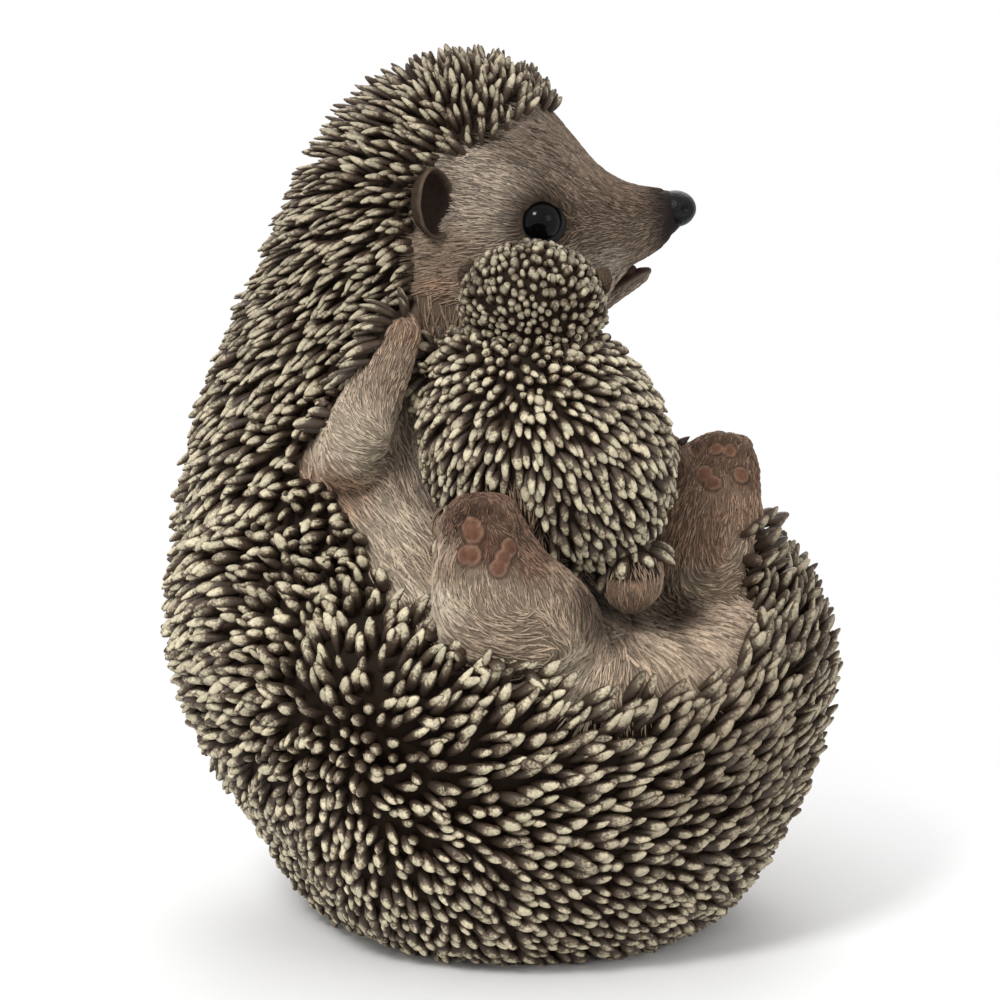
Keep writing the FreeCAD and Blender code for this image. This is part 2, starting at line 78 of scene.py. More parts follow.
def seen_place(surface, column, row):
    """Place on a surface seen at a column and row of the photograph, or the nearest to that line."""
    aim = (AIM + RIGHTWARD * (column - FRAME_PIXELS / 2) * MM_PER_PIXEL * MM
           + UPWARD * (FRAME_PIXELS / 2 - row) * MM_PER_PIXEL * MM)
    ray = Vector(aim - STATION).normalized()
    place = surface.tree.ray_cast(Vector(STATION), ray)[0]
    if place is None:
        beside = Vector(STATION) + ray * (Vector(AIM - STATION).dot(ray))
        place = surface.tree.find_nearest(beside)[0]
    return np.array(place)


# Paints, as sRGB hex values
PAINTS = {
    "root": "392c22",
    "shaft": "4e3f32",
    "deep": "241910",
    "middle_tone": "766550",
    "cream": "e1d5b5",
    "cream_grey": "b5a990",
    "rim_brown_and_shade": "75604c",
    "fur_dark": "5d4c3e",
    "fur_mid": "9c8671",
    "fur_light": "c6b098",
    "fur_pale": "e6d4bb",
    "fur_arm": "bba48e",
    "fur_warm": "b3947b",
    "fur_brown": "866a58",
    "fur_grey": "a69482",
    "face": "b6a694",
    "face_shade": "857565",
    "face_back": "917e6b",
    "muzzle": "907d6b",
    "muzzle_top": "7a6757",
    "nose_skin": "332a26",
    "foot": "7d6050",
    "sole": "84624f",
    "pad": "684839",
    "crease_shade": "2a1d17",
    "ear_dark": "2b201a",
    "ear_rim": "56473b",
    "mouth": "3e2a24",
    "black": "080808",
}
# The sRGB curve: end of its straight part, that part's slope, offset, scale and power
SRGB_KNEE = 0.04045
SRGB_SLOPE = 12.92
SRGB_OFFSET = 0.055
SRGB_POWER = 2.4


def linear(hex_value):
    """Scene colour of an sRGB hex value."""
    channels = np.array([int(hex_value[start:start + 2], 16) / 255 for start in (0, 2, 4)])
    curve = ((channels + SRGB_OFFSET) / (1 + SRGB_OFFSET)) ** SRGB_POWER
    return np.where(channels <= SRGB_KNEE, channels / SRGB_SLOPE, curve)


PAINT = {name: linear(value) for name, value in PAINTS.items()}

# Numbers too small to matter, which keep divisions and crossings whole
TINY = 1e-12
SPECK = 1e-6


def unit(vectors):
    lengths = np.linalg.norm(vectors, axis=-1, keepdims=True)
    return vectors / np.maximum(lengths, TINY)


def smooth_step(value, low, high):
    share = np.clip((value - low) / (high - low), 0, 1)
    return share * share * (3 - 2 * share)


def mixed(first, second, share):
    return first + (second - first) * share


def ramp(start_rise, share):
    """A start and what is added to it at a share of 1."""
    start, rise = start_rise
    return start + rise * share


def varied(start_rise, shape):
    """Random values between a start and a start plus its rise."""
    return ramp(start_rise, rng.random(shape))


def tangent(vectors, normals):
    return vectors - normals * np.sum(vectors * normals, axis=-1, keepdims=True)


def gaps_to(places, place):
    return np.linalg.norm(places - place, axis=1)


# Pieces and the frame


def finish_piece(piece, slot, *nodes):
    if nodes:
        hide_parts(*nodes)
    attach(piece, "root")


def finish_coat(pieces, slot):
    for piece in pieces:
        finish_piece(piece, slot)


def add_paint(mesh, paint):
    """Vertex colours; the fourth channel is 1 where the paint has none."""
    colours = np.ones((len(mesh.vertices), 4))
    colours[:, :paint.shape[1]] = paint
    layer = mesh.color_attributes.new("Paint", "FLOAT_COLOR", "POINT")
    layer.data.foreach_set("color", colours.astype(np.float32).ravel())


def dress(piece, paint, material):
    """Paint a piece, point by point or all over, and give it its material."""
    if paint.ndim == 1:
        paint = np.repeat(paint[None], len(piece.data.vertices), axis=0)
    add_paint(piece.data, paint)
    piece.data.materials.append(material)


def linked_object(name, mesh):
    piece = bpy.data.objects.new(name, mesh)
    bpy.context.scene.collection.objects.link(piece)
    return piece


def mesh_object(name, points, faces, paint, material):
    mesh = bpy.data.meshes.new(name)
    mesh.from_pydata(points.tolist(), [], faces)
    mesh.validate()
    mesh.shade_smooth()
    piece = linked_object(name, mesh)
    dress(piece, paint, material)
    return piece


# CAD nodes as meshes: a tip is a point on the four corners of its lattice cell
TIP_CORNERS = 4
FULL_CORNER = 5
TIP_HEIGHT = 2.4 * MM
WELD_REACH = 1e-6
FLAT_END_FACES = 7
NORMAL_DIGITS = 2
LEVEL_DIGITS = 4


def quill_tips(mesh):
    """Vertices of a lattice skin that are quill tips, each with the middle of its cell."""
    tips = []
    for vertex in mesh.verts:
        around = [edge.other_vert(vertex) for edge in vertex.link_edges]
        if len(around) != TIP_CORNERS or min(len(other.link_edges) for other in around) < FULL_CORNER:
            continue
        middle = sum((other.co for other in around), Vector()) / TIP_CORNERS
        if (vertex.co - middle).length > TIP_HEIGHT:
            tips.append((vertex, middle))
    return tips


def cad_mesh(name):
    """A CAD node as a bmesh."""
    mesh = bmesh.new()
    mesh.from_mesh(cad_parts[name].data)
    bmesh.ops.remove_doubles(mesh, verts=mesh.verts, dist=WELD_REACH)
    mesh.normal_update()
    return mesh


def bald_mesh(name):
    """A CAD node with its quill tips taken off, and the places they stood on."""
    mesh = cad_mesh(name)
    tips = quill_tips(mesh)
    places = [middle.copy() for _, middle in tips]
    bmesh.ops.dissolve_verts(mesh, verts=[vertex for vertex, _ in tips])
    mesh.normal_update()
    return mesh, places


def flat_ends(mesh):
    """Groups of the faces that make the flat ends of a skin, the largest first."""
    groups = {}
    for face in mesh.faces:
        level = face.normal.dot(face.verts[0].co)
        key = tuple(round(value, NORMAL_DIGITS) for value in face.normal) + (round(level, LEVEL_DIGITS),)
        groups.setdefault(key, []).append(face)
    ends = [faces for faces in groups.values() if len(faces) >= FLAT_END_FACES]
    return sorted(ends, key=lambda faces: -sum(face.calc_area() for face in faces))


def push_out(faces, distance):
    """Move the vertices of a flat end outward, so that the joint overlaps."""
    normal = faces[0].normal.copy()
    for vertex in {vertex for face in faces for vertex in face.verts}:
        vertex.co += normal * distance


def bare_middles(mesh):
    """Middles of the bare lattice faces; the rows at a flat end belong to the next skin."""
    ends = {vertex for faces in flat_ends(mesh) for face in faces for vertex in face.verts}
    return [face.calc_center_median() for face in mesh.faces
            if len(face.verts) == 3 and not ends.intersection(face.verts)]


# Balls, skins and surfaces


def unit_ball(rings, columns):
    """Points and faces of a ball of radius 1."""
    points = [np.array([0, 0, -1.0])]
    for ring in range(1, rings):
        tilt = math.pi * ring / rings
        for column in range(columns):
            turn = 2 * math.pi * column / columns
            points.append(np.array([math.sin(tilt) * math.cos(turn), math.sin(tilt) * math.sin(turn),
                                    -math.cos(tilt)]))
    points.append(np.array([0, 0, 1.0]))
    faces = []
    for column in range(columns):
        after = (column + 1) % columns
        faces.append((0, 1 + after, 1 + column))
        for ring in range(rings - 2):
            low = 1 + ring * columns
            high = low + columns
            faces.append((low + column, low + after, high + after, high + column))
        top = 1 + (rings - 2) * columns
        faces.append((top + column, top + after, len(points) - 1))
    return np.array(points), faces


BALL_RINGS = 8
BALL_COLUMNS = 12
RELAX_SHARE = 0.5


def add_ball(mesh, middle, radii):
    """Add an ellipsoid, given in millimetres, to a bmesh."""
    points, faces = unit_ball(BALL_RINGS, BALL_COLUMNS)
    made = [mesh.verts.new(point) for point in points * (np.array(radii) * MM) + np.array(middle) * MM]
    for face in faces:
        mesh.faces.new([made[index] for index in face])


def skin_object(name, meshes, voxel, smoothing, balls=()):
    """One closed, smooth skin round several closed meshes and balls."""
    whole = bmesh.new()
    for part in meshes:
        scratch = bpy.data.meshes.new("scratch")
        part.to_mesh(scratch)
        whole.from_mesh(scratch)
        bpy.data.meshes.remove(scratch)
        part.free()
    for middle, radii in balls:
        add_ball(whole, middle, radii)
    mesh = bpy.data.meshes.new(name + "_rough")
    whole.to_mesh(mesh)
    whole.free()
    rough = linked_object(name + "_rough", mesh)
    remesh = rough.modifiers.new("remesh", "REMESH")
    remesh.mode = "VOXEL"
    remesh.voxel_size = voxel
    relax = rough.modifiers.new("relax", "SMOOTH")
    relax.factor = RELAX_SHARE
    relax.iterations = smoothing
    graph = bpy.context.evaluated_depsgraph_get()
    made = bpy.data.meshes.new_from_object(rough.evaluated_get(graph))
    made.name = name
    bpy.data.objects.remove(rough)
    made.shade_smooth()
    return linked_object(name, made)


def points_and_normals(mesh):
    points = np.empty(len(mesh.vertices) * 3)
    mesh.vertices.foreach_get("co", points)
    normals = np.empty(len(mesh.vertices) * 3, np.float32)
    mesh.vertex_normals.foreach_get("vector", normals)
    return points.reshape(-1, 3), normals.reshape(-1, 3).astype(float)


class Surface:
    """A mesh to sample points from and to lay things on."""

    def __init__(self, piece):
        mesh = piece.data
        mesh.calc_loop_triangles()
        self.points, self.normals = points_and_normals(mesh)
        corners = np.empty(len(mesh.loop_triangles) * 3, np.int32)
        mesh.loop_triangles.foreach_get("vertices", corners)
        self.corners = corners.reshape(-1, 3)
        a, b, c = (self.points[self.corners[:, k]] for k in range(3))
        self.areas = np.linalg.norm(np.cross(b - a, c - a), axis=1) / 2
        self.tree = BVHTree.FromPolygons(self.points.tolist(), self.corners.tolist())

    def sample(self, count):
        """Random places on the skin, with smooth normals."""
        chosen = rng.choice(len(self.areas), count, p=self.areas / self.areas.sum())
        first, second = rng.random((2, count))
        flip = first + second > 1
        first[flip], second[flip] = 1 - first[flip], 1 - second[flip]
        third = 1 - first - second
        mix = np.stack([third, first, second], axis=1)[:, :, None]
        corners = self.corners[chosen]
        places = np.sum(self.points[corners] * mix, axis=1)
        return places, unit(np.sum(self.normals[corners] * mix, axis=1))

    def nearest(self, places):
        """Nearest places on the skin and their normals."""
        found = [self.tree.find_nearest(Vector(place)) for place in places]
        spots = np.array([hit[0] for hit in found])
        corners = self.corners[[hit[2] for hit in found]]
        near = self.points[corners]
        weights = 1 / (np.linalg.norm(near - spots[:, None], axis=2) + SPECK)
        normals = unit(np.sum(self.normals[corners] * weights[:, :, None], axis=1))
        return spots, normals


def refine_near(piece, middle, reach):
    """Split the faces of a skin round a place, for finer carving."""
    mesh = bmesh.new()
    mesh.from_mesh(piece.data)
    near = [edge for edge in mesh.edges if (edge.verts[0].co - Vector(middle)).length < reach]
    bmesh.ops.subdivide_edges(mesh, edges=near, cuts=1, use_grid_fill=True)
    mesh.to_mesh(piece.data)
    mesh.free()
    piece.data.shade_smooth()


def carve(piece, marks):
    """Raise or sink a skin along its normals at marks of (place, reach, height)."""
    mesh = piece.data
    points, normals = points_and_normals(mesh)
    total = np.zeros(len(points))
    for place, reach, height in marks:
        share = gaps_to(points, place) / reach
        near = share < 1
        total[near] += height * (1 - share[near] ** 2) ** 2
    points += normals * total[:, None]
    mesh.vertices.foreach_set("co", points.ravel())
    mesh.update()


def seen_marks(surface, marks):
    """Carving marks from columns and rows of the photograph, with sizes in millimetres."""
    return [(seen_place(surface, column, row), reach * MM, height * MM)
            for column, row, reach, height in marks]


def crowded(place, cell, grid, places, spacing):
    """True where a place kept before is nearer than the spacing."""
    for dx in (-1, 0, 1):
        for dy in (-1, 0, 1):
            for dz in (-1, 0, 1):
                for other in grid.get((cell[0] + dx, cell[1] + dy, cell[2] + dz), ()):
                    gap = places[other] - place
                    if gap @ gap < spacing ** 2:
                        return True
    return False


def spread(places, spacing):
    """Indices of the places that keep their distance, first come first kept."""
    cells = np.floor(places / float(np.max(spacing))).astype(int)
    grid = {}
    kept = []
    for index, place in enumerate(places):
        cell = tuple(cells[index])
        if not crowded(place, cell, grid, places, spacing[index]):
            grid.setdefault(cell, []).append(index)
            kept.append(index)
    return np.array(kept, int)


def blended(places, table, values, blend):
    """Values at places, blended from those at a table of places."""
    gaps = np.sum((places[:, None] - table[None]) ** 2, axis=2)
    weights = 1 / (gaps + blend ** 2) ** 2
    return weights @ values / weights.sum(axis=1)[:, None]


# Closed tapering tubes, for quills, hairs and claws
ROOT_CAP = 0.05
TIP_REACH = 0.30
PIT_DEPTH = 0.9
PIT_FLARE = 1.25
PIECE_TRIANGLES = 180000
BAKE_MARGIN = 0.08
BAKE_CELL_SHAPE = 4


def ring_turns(sides):
    """Angles of the corners of a ring, one of them on its outer side."""
    return np.pi / 2 + 2 * np.pi * np.arange(sides) / sides


def tubes(name, material, sides, paths, across, outward, widths, heights, paint, pitted=None):
    """Pieces of closed tapering tubes, split so that each holds about PIECE_TRIANGLES triangles at most.
    """
    hollow = np.zeros(len(paths), bool) if pitted is None else pitted
    triangles = len(paths) * sides * paths.shape[1] * 2
    parts = math.ceil(triangles / PIECE_TRIANGLES)
    values = (paths, across, outward, widths, heights, paint, hollow)
    pieces = []
    for number, share in enumerate(np.array_split(np.arange(len(paths)), parts)):
        part_name = name if parts == 1 else f"{name}_{number + 1}"
        pieces.append(tube_piece(part_name, material, sides, *(value[share] for value in values)))
    return pieces


def tube_piece(name, material, sides, paths, across, outward, widths, heights, paint, pitted):
    """Tubes in one piece: paths (tubes, rings, 3), ring sizes, and paint (tubes, rings, sides, 4)."""
    count, rings, _ = paths.shape
    turn = ring_turns(sides)
    ring = (across[:, :, None] * (np.cos(turn)[:, None] * widths[:, :, None, None])
            + outward[:, :, None] * (np.sin(turn)[:, None] * heights[:, :, None, None]))
    body = (paths[:, :, None] + ring).reshape(count, rings * sides, 3)
    start = paths[:, 0] - (paths[:, 1] - paths[:, 0]) * ROOT_CAP
    reach = np.full((count, 1), TIP_REACH)
    reach[pitted] = -PIT_DEPTH
    end = paths[:, -1] + (paths[:, -1] - paths[:, -2]) * reach
    points = np.concatenate([start[:, None], body, end[:, None]], axis=1)
    per = points.shape[1]
    column = np.arange(sides)
    after = (column + 1) % sides
    first = np.stack([np.zeros(sides, int), 1 + after, 1 + column], axis=1)
    top = 1 + (rings - 1) * sides
    last = np.stack([top + column, top + after, np.full(sides, per - 1)], axis=1)
    walls = np.concatenate([
        np.stack([1 + k * sides + column, 1 + k * sides + after,
                  1 + (k + 1) * sides + after, 1 + (k + 1) * sides + column], axis=1)
        for k in range(rings - 1)])
    shift = (np.arange(count) * per)[:, None, None]
    caps = (np.concatenate([first, last])[None] + shift).reshape(-1, 3)
    quads = (walls[None] + shift).reshape(-1, 4)
    colours = paint.reshape(count, rings * sides, 4)
    last_colours = colours[:, -sides:].mean(axis=1)
    last_colours[pitted] = (*PAINT["root"], 0.0)
    colours = np.concatenate([colours[:, :1], colours, last_colours[:, None]], axis=1)
    piece = mesh_object(name, points.reshape(-1, 3), caps.tolist() + quads.tolist(),
                        colours.reshape(-1, 4), material)
    lay_out_bake(piece.data, count, per, rings, sides)
    return piece


def lay_out_bake(mesh, count, per, rings, sides):
    """Give every tube its own cell of the bake layout."""
    columns = math.ceil(math.sqrt(count * BAKE_CELL_SHAPE))
    rows = math.ceil(count / columns)
    vertex = np.empty(len(mesh.loops), np.int32)
    mesh.loops.foreach_get("vertex_index", vertex)
    tube, inner = np.divmod(vertex, per)
    ring, side = np.divmod(np.clip(inner - 1, 0, rings * sides - 1), sides)
    along = np.where(inner == 0, 0.0, np.where(inner == per - 1, rings + 1.0, ring + 1.0)) / (rings + 1)
    around = (2 * side + 1) / (2 * sides)
    u = (tube % columns + BAKE_MARGIN + around * (1 - 2 * BAKE_MARGIN)) / columns
    v = (tube // columns + BAKE_MARGIN + along * (1 - 2 * BAKE_MARGIN)) / rows
    layer = mesh.uv_layers.new(name="OFBake")
    layer.data.foreach_set("uv", np.stack([u, v], axis=1).astype(np.float32).ravel())


# Materials: roughness, strength of the grain, scale of the speckle, and specular level
QUILL_FINISH = (0.52, 0.30, 1100, 0.40)
SKIN_FINISH = (0.68, 0.35, 700, 0.12)
FUR_FINISH = (0.62, 0.20, 1200, 0.25)
EYE_FINISH = (0.10, 0.0, 60, 0.12)
NOSE_FINISH = (0.40, 0.45, 1400, 0.20)
# The speckle in tone and roughness, and the height of the grain
SPECKLE_DETAIL = 4
SPECKLE_NOISE = (0.3, 0.7)
SPECKLE_TONES = (0.72, 1.18)
ROUGH_SPREAD = (-0.08, 0.10)
GRAIN_HEIGHT = 0.3 * MM
# Wear of the pale dabs, and patches of tone in the dark shafts
WEAR_SCALE = 1500
WEAR_DETAIL = 3
WEAR_SHARE = 0.9
DAB_EDGE = (0.82, 1.25)
FRINGE_EDGE = (0.50, 1.15)
FRINGE_COVER = 0.75
PATCH_SCALE = 45
PATCH_DETAIL = 2


def node_tree(owner):
    """Nodes and links of a material or of the world."""
    owner.use_nodes = True
    return owner.node_tree.nodes, owner.node_tree.links


def add_node(nodes, kind, values=None, **settings):
    """A shader node with its settings and the values of its inputs."""
    node = nodes.new("ShaderNode" + kind)
    for setting, value in settings.items():
        setattr(node, setting, value)
    for socket, value in (values or {}).items():
        node.inputs[socket].default_value = value
    return node


def noise(nodes, links, place, scale, detail):
    """Noise in the object's own space."""
    node = add_node(nodes, "TexNoise", {"Scale": scale, "Detail": detail})
    links.new(place.outputs["Object"], node.inputs["Vector"])
    return node.outputs["Fac"]


def map_range(nodes, links, source, from_range, to_range=(0, 1), **settings):
    """A value carried from one range to another."""
    values = dict(zip(("From Min", "From Max", "To Min", "To Max"), (*from_range, *to_range)))
    node = add_node(nodes, "MapRange", values, **settings)
    links.new(source, node.inputs["Value"])
    return node.outputs["Result"]


def mix_paints(nodes, links, share, first, second):
    """Two paints mixed by a share; each of the two is another node's output or a colour."""
    node = add_node(nodes, "Mix", data_type="RGBA")
    links.new(share, node.inputs["Factor"])
    for end, value in (("A", first), ("B", second)):
        if isinstance(value, bpy.types.NodeSocket):
            links.new(value, node.inputs[end])
        else:
            node.inputs[end].default_value = (*value, 1)
    return node.outputs["Result"]


def mix_shaders(nodes, links, share, first, second, output):
    """Two shaders mixed by a share, led to the output."""
    mix = add_node(nodes, "MixShader")
    for place, source in enumerate((share, first.outputs[0], second.outputs[0])):
        links.new(source, mix.inputs[place])
    links.new(mix.outputs[0], nodes[output].inputs["Surface"])


def painted(name, roughness, grain, speckle_scale, specular):
    """Painted resin: vertex paint, a fine speckle and a faint grain."""
    material = bpy.data.materials.new(name)
    nodes, links = node_tree(material)
    shader = nodes["Principled BSDF"]
    shader.inputs["Specular IOR Level"].default_value = specular
    paint = add_node(nodes, "Attribute", attribute_name="Paint")
    speckle = noise(nodes, links, add_node(nodes, "TexCoord"), speckle_scale, SPECKLE_DETAIL)
    tint = add_node(nodes, "Mix", {"Factor": 1}, data_type="RGBA", blend_type="MULTIPLY")
    links.new(paint.outputs["Color"], tint.inputs["A"])
    links.new(map_range(nodes, links, speckle, SPECKLE_NOISE, SPECKLE_TONES), tint.inputs["B"])
    links.new(tint.outputs["Result"], shader.inputs["Base Color"])
    rough = [roughness + change for change in ROUGH_SPREAD]
    links.new(map_range(nodes, links, speckle, (0, 1), rough), shader.inputs["Roughness"])
    bump = add_node(nodes, "Bump", {"Strength": grain, "Distance": GRAIN_HEIGHT})
    links.new(speckle, bump.inputs["Height"])
    links.new(bump.outputs["Normal"], shader.inputs["Normal"])
    return material


def quill_paint():
    """Dark shafts with a pale dab whose edge is worn to speckles; alpha holds how far it covers."""
    material = painted("quill_paint", *QUILL_FINISH)
    nodes, links = node_tree(material)
    paint = next(node for node in nodes if node.type == "ATTRIBUTE")
    tint = next(node for node in nodes if node.type == "MIX")
    place = add_node(nodes, "TexCoord")
    total = add_node(nodes, "Math", {1: WEAR_SHARE}, operation="MULTIPLY_ADD")
    links.new(noise(nodes, links, place, WEAR_SCALE, WEAR_DETAIL), total.inputs[0])
    links.new(paint.outputs["Alpha"], total.inputs[2])
    wear = total.outputs[0]
    edge = map_range(nodes, links, wear, DAB_EDGE, interpolation_type="SMOOTHSTEP")
    fringe = map_range(nodes, links, wear, FRINGE_EDGE, (0, FRINGE_COVER), interpolation_type="SMOOTHSTEP")
    patch = noise(nodes, links, place, PATCH_SCALE, PATCH_DETAIL)
    shafts = mix_paints(nodes, links, patch, PAINT["root"], PAINT["shaft"])
    worn = mix_paints(nodes, links, fringe, shafts, PAINT["middle_tone"])
    links.new(mix_paints(nodes, links, edge, worn, paint.outputs["Color"]), tint.inputs["A"])
    return material


quill_material = quill_paint()
skin_material = painted("skin_paint", *SKIN_FINISH)
fur_material = painted("fur_paint", *FUR_FINISH)
gloss_material = painted("eye_gloss", *EYE_FINISH)
nose_material = painted("nose_gloss", *NOSE_FINISH)


# The mother's head is alike on both sides of this y, in millimetres
HEAD_MIDDLE = 8.05


def other_side(place):
    """The place mirrored to the other side of the mother's head."""
    return np.array((place[0], 2 * HEAD_MIDDLE * MM - place[1], place[2]))


def both_sides(place):
    """A place on the mother's head, and its mirror image."""
    return place, other_side(place)


# Skins of the two figures: the body, the head, then the limbs
MOTHER_NODES = ("mother_body", "mother_head", "mother_arm_right", "mother_arm_left",
                "mother_leg_right", "mother_leg_left")
BABY_NODES = ("baby_body", "baby_head", "baby_arm_right", "baby_arm_left",
              "baby_leg_right", "baby_leg_left")
NECK_OVERLAP = 3 * MM
MOTHER_VOXEL = 1.3 * MM
MOTHER_SMOOTHING = 12
BABY_VOXEL = 0.9 * MM
BABY_SMOOTHING = 8
# Balls that fill out the hand and the collar of the nose: middle and half sizes, in millimetres
HAND_BALLS = (
    ((-21.6, -37.6, 143.8), (4.6, 3.6, 4.4)), ((-23.0, -38.2, 139.5), (4.9, 3.8, 4.6)),
    ((-24.8, -38.6, 134.5), (5.1, 4.0, 5.0)), ((-27.0, -38.8, 129.0), (5.5, 4.2, 5.4)),
    ((-29.4, -38.4, 123.0), (6.0, 4.6, 5.8)), ((-32.6, -37.6, 119.5), (6.6, 5.0, 6.4)),
    ((-34.4, -36.6, 115.5), (6.4, 5.0, 6.0)),
)
COLLAR_BALLS = (
    ((32.6, HEAD_MIDDLE, 160.8), (6.6, 5.6, 6.6)), ((35.2, HEAD_MIDDLE, 163.2), (6.3, 5.4, 6.2)),
    ((38.2, HEAD_MIDDLE, 164.3), (5.0, 4.7, 5.2)),
)


def figure_skin(name, nodes, voxel, smoothing, neck_overlap=0, balls=()):
    """Skin of a figure, with the quilled and the bare places of its body and head."""
    (body, body_tips), (head, head_tips) = (bald_mesh(node) for node in nodes[:2])
    if neck_overlap:
        push_out(flat_ends(head)[0], neck_overlap)
    bare = bare_middles(body) + bare_middles(head)
    limbs = [cad_mesh(node) for node in nodes[2:]]
    skin = skin_object(name, [body, head] + limbs, voxel, smoothing, balls)
    return skin, body_tips + head_tips, bare


mother_skin, mother_quilled, mother_bare = figure_skin(
    "mother_skin", MOTHER_NODES, MOTHER_VOXEL, MOTHER_SMOOTHING, NECK_OVERLAP, HAND_BALLS + COLLAR_BALLS)

# Middles of the mother's eyes, nose tip, face and ear
eye_low, eye_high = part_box("mother_eye_right")
EYE_PLACE = (np.array(eye_low) + np.array(eye_high)) / 2
EYES = both_sides(EYE_PLACE)
NOSE_TIP = np.array((44.9, HEAD_MIDDLE, 165.0)) * MM
FACE_MIDDLE = np.array((22.0, 4.0, 166.0)) * MM
EAR_MIDDLE = np.array((-14.4, -20.9, 170.4)) * MM
EAR_DENT_MIDDLE = np.array((-16.3, -20.6, 170.4)) * MM
EAR_DENT_REACH = 8.0 * MM
EAR_DENT_DEPTH = 5.5 * MM
# Finer skin on the face and on the feet: column and row of the photograph, and reach in millimetres
FACE_REACH = 33 * MM
FINE_FEET = ((488, 540, 15), (722, 460, 12))
# Carved marks: column and row of the photograph, then reach and height in millimetres
NEAR_FOOT_MARKS = (
    (455, 518, 2.9, 2.0), (467, 510, 2.9, 2.2), (482, 507, 2.9, 2.2), (497, 510, 2.9, 2.0),
    (510, 520, 2.8, 1.7), (461, 518, 1.7, -1.2), (475, 512, 1.7, -1.4), (490, 512, 1.7, -1.4),
    (504, 518, 1.7, -1.2), (470, 529, 5.6, -1.5), (470, 527, 4.2, 1.1), (472, 532, 4.2, 1.1),
    (467, 555, 5.0, -1.2), (463, 555, 3.7, 0.9), (471, 555, 3.7, 0.9), (506, 558, 5.2, -1.4),
    (499, 568, 3.4, 1.1), (504, 558, 3.2, 0.9), (511, 547, 3.6, 1.1), (487, 546, 3.0, -0.8),
    (530, 575, 3.0, -0.5), (441, 532, 8.0, -2.2), (442, 560, 8.0, -1.6), (527, 524, 8.0, -2.4),
    (533, 548, 8.0, -2.2),
)
FAR_FOOT_MARKS = (
    (702, 446, 2.8, 1.5), (716, 441, 2.8, 1.8), (730, 441, 2.8, 1.8), (744, 449, 2.8, 1.5),
    (709, 445, 1.6, -1.1), (723, 442, 1.6, -1.2), (738, 445, 1.6, -1.1),
    (742, 474, 3.6, -0.7), (742, 474, 3.0, 1.3), (709, 478, 4.8, -1.3), (705, 473, 3.2, 1.2),
    (713, 482, 3.2, 1.2), (726, 469, 2.0, -0.8), (764, 452, 5.5, -1.7), (766, 472, 5.5, -1.9),
    (764, 492, 5.0, -1.6),
)
BODY_TRIM = ((232, 825, 28, -2.2), (285, 900, 26, -2.2), (350, 945, 22, -1.2))
HAND_MARKS = ((411, 340, 1.2, -0.6), (420, 337, 1.6, 0.5), (403, 338, 1.8, 0.4), (422, 350, 1.2, -0.4))
BABY_FOOT_MARKS = ((636, 592, 8.5, 2.8), (620, 590, 7.0, 1.8))
# The mouth and the line of the lip, each with the reach and height of its marks
MOUTH_LINE = ((607, 283), (610, 280), (613, 277))
MOUTH_MARK = (1.3, -0.5)
LIP_LINE = ((614, 274), (620, 272), (626, 270), (632, 267), (637, 265))
LIP_MARK = (4.2, -0.8)

rough_surface = Surface(mother_skin)
foot_places = [(seen_place(rough_surface, column, row), reach * MM) for column, row, reach in FINE_FEET]
for middle, reach in [(FACE_MIDDLE, FACE_REACH)] + foot_places:
    refine_near(mother_skin, middle, reach)
fine_surface = Surface(mother_skin)
feature_marks = seen_marks(fine_surface, NEAR_FOOT_MARKS + FAR_FOOT_MARKS + HAND_MARKS + BODY_TRIM)
mouth_marks = seen_marks(fine_surface, [(*place, *MOUTH_MARK) for place in MOUTH_LINE]
                         + [(*place, *LIP_MARK) for place in LIP_LINE])
mouth_marks += [(other_side(place), reach, height) for place, reach, height in mouth_marks]
ear_marks = [(place, EAR_DENT_REACH, -EAR_DENT_DEPTH) for place in both_sides(EAR_DENT_MIDDLE)]
carve(mother_skin, feature_marks + mouth_marks + ear_marks)
mother_surface = Surface(mother_skin)

baby_skin, baby_quilled, baby_bare = figure_skin("baby_skin", BABY_NODES, BABY_VOXEL, BABY_SMOOTHING)
carve(baby_skin, seen_marks(Surface(baby_skin), BABY_FOOT_MARKS))
baby_surface = Surface(baby_skin)


# Where the figures are quilled: neighbours that tell, and the weight of a bare one
COAT_NEIGHBOURS = 7
BARE_WEIGHT = 0.5
CLEARING_DEPTH = 60 * MM
# Bare spots at the edge of the coats: column, row and reach, in the photograph's pixels
HEM_CLEARINGS = (
    (773, 478, 14), (312, 466, 16), (434, 619, 19), (424, 526, 20), (446, 514, 15), (652, 592, 20),
    (602, 582, 12),
)
COAT_CLEARINGS = (
    (430, 322, 24), (404, 334, 17), (426, 290, 12), (388, 356, 15), (374, 380, 13), (360, 402, 11),
    (768, 452, 28), (768, 484, 18), (752, 508, 14), (764, 503, 12),
    (738, 522, 14), (746, 545, 9), (748, 490, 13), (760, 490, 10), (325, 446, 17), (338, 474, 15),
    (400, 600, 13), (430, 610, 16), (455, 640, 14), (500, 656, 12),
)
BABY_CLEARINGS = ((632, 590, 34), (600, 605, 28), (655, 566, 17), (673, 549, 14))


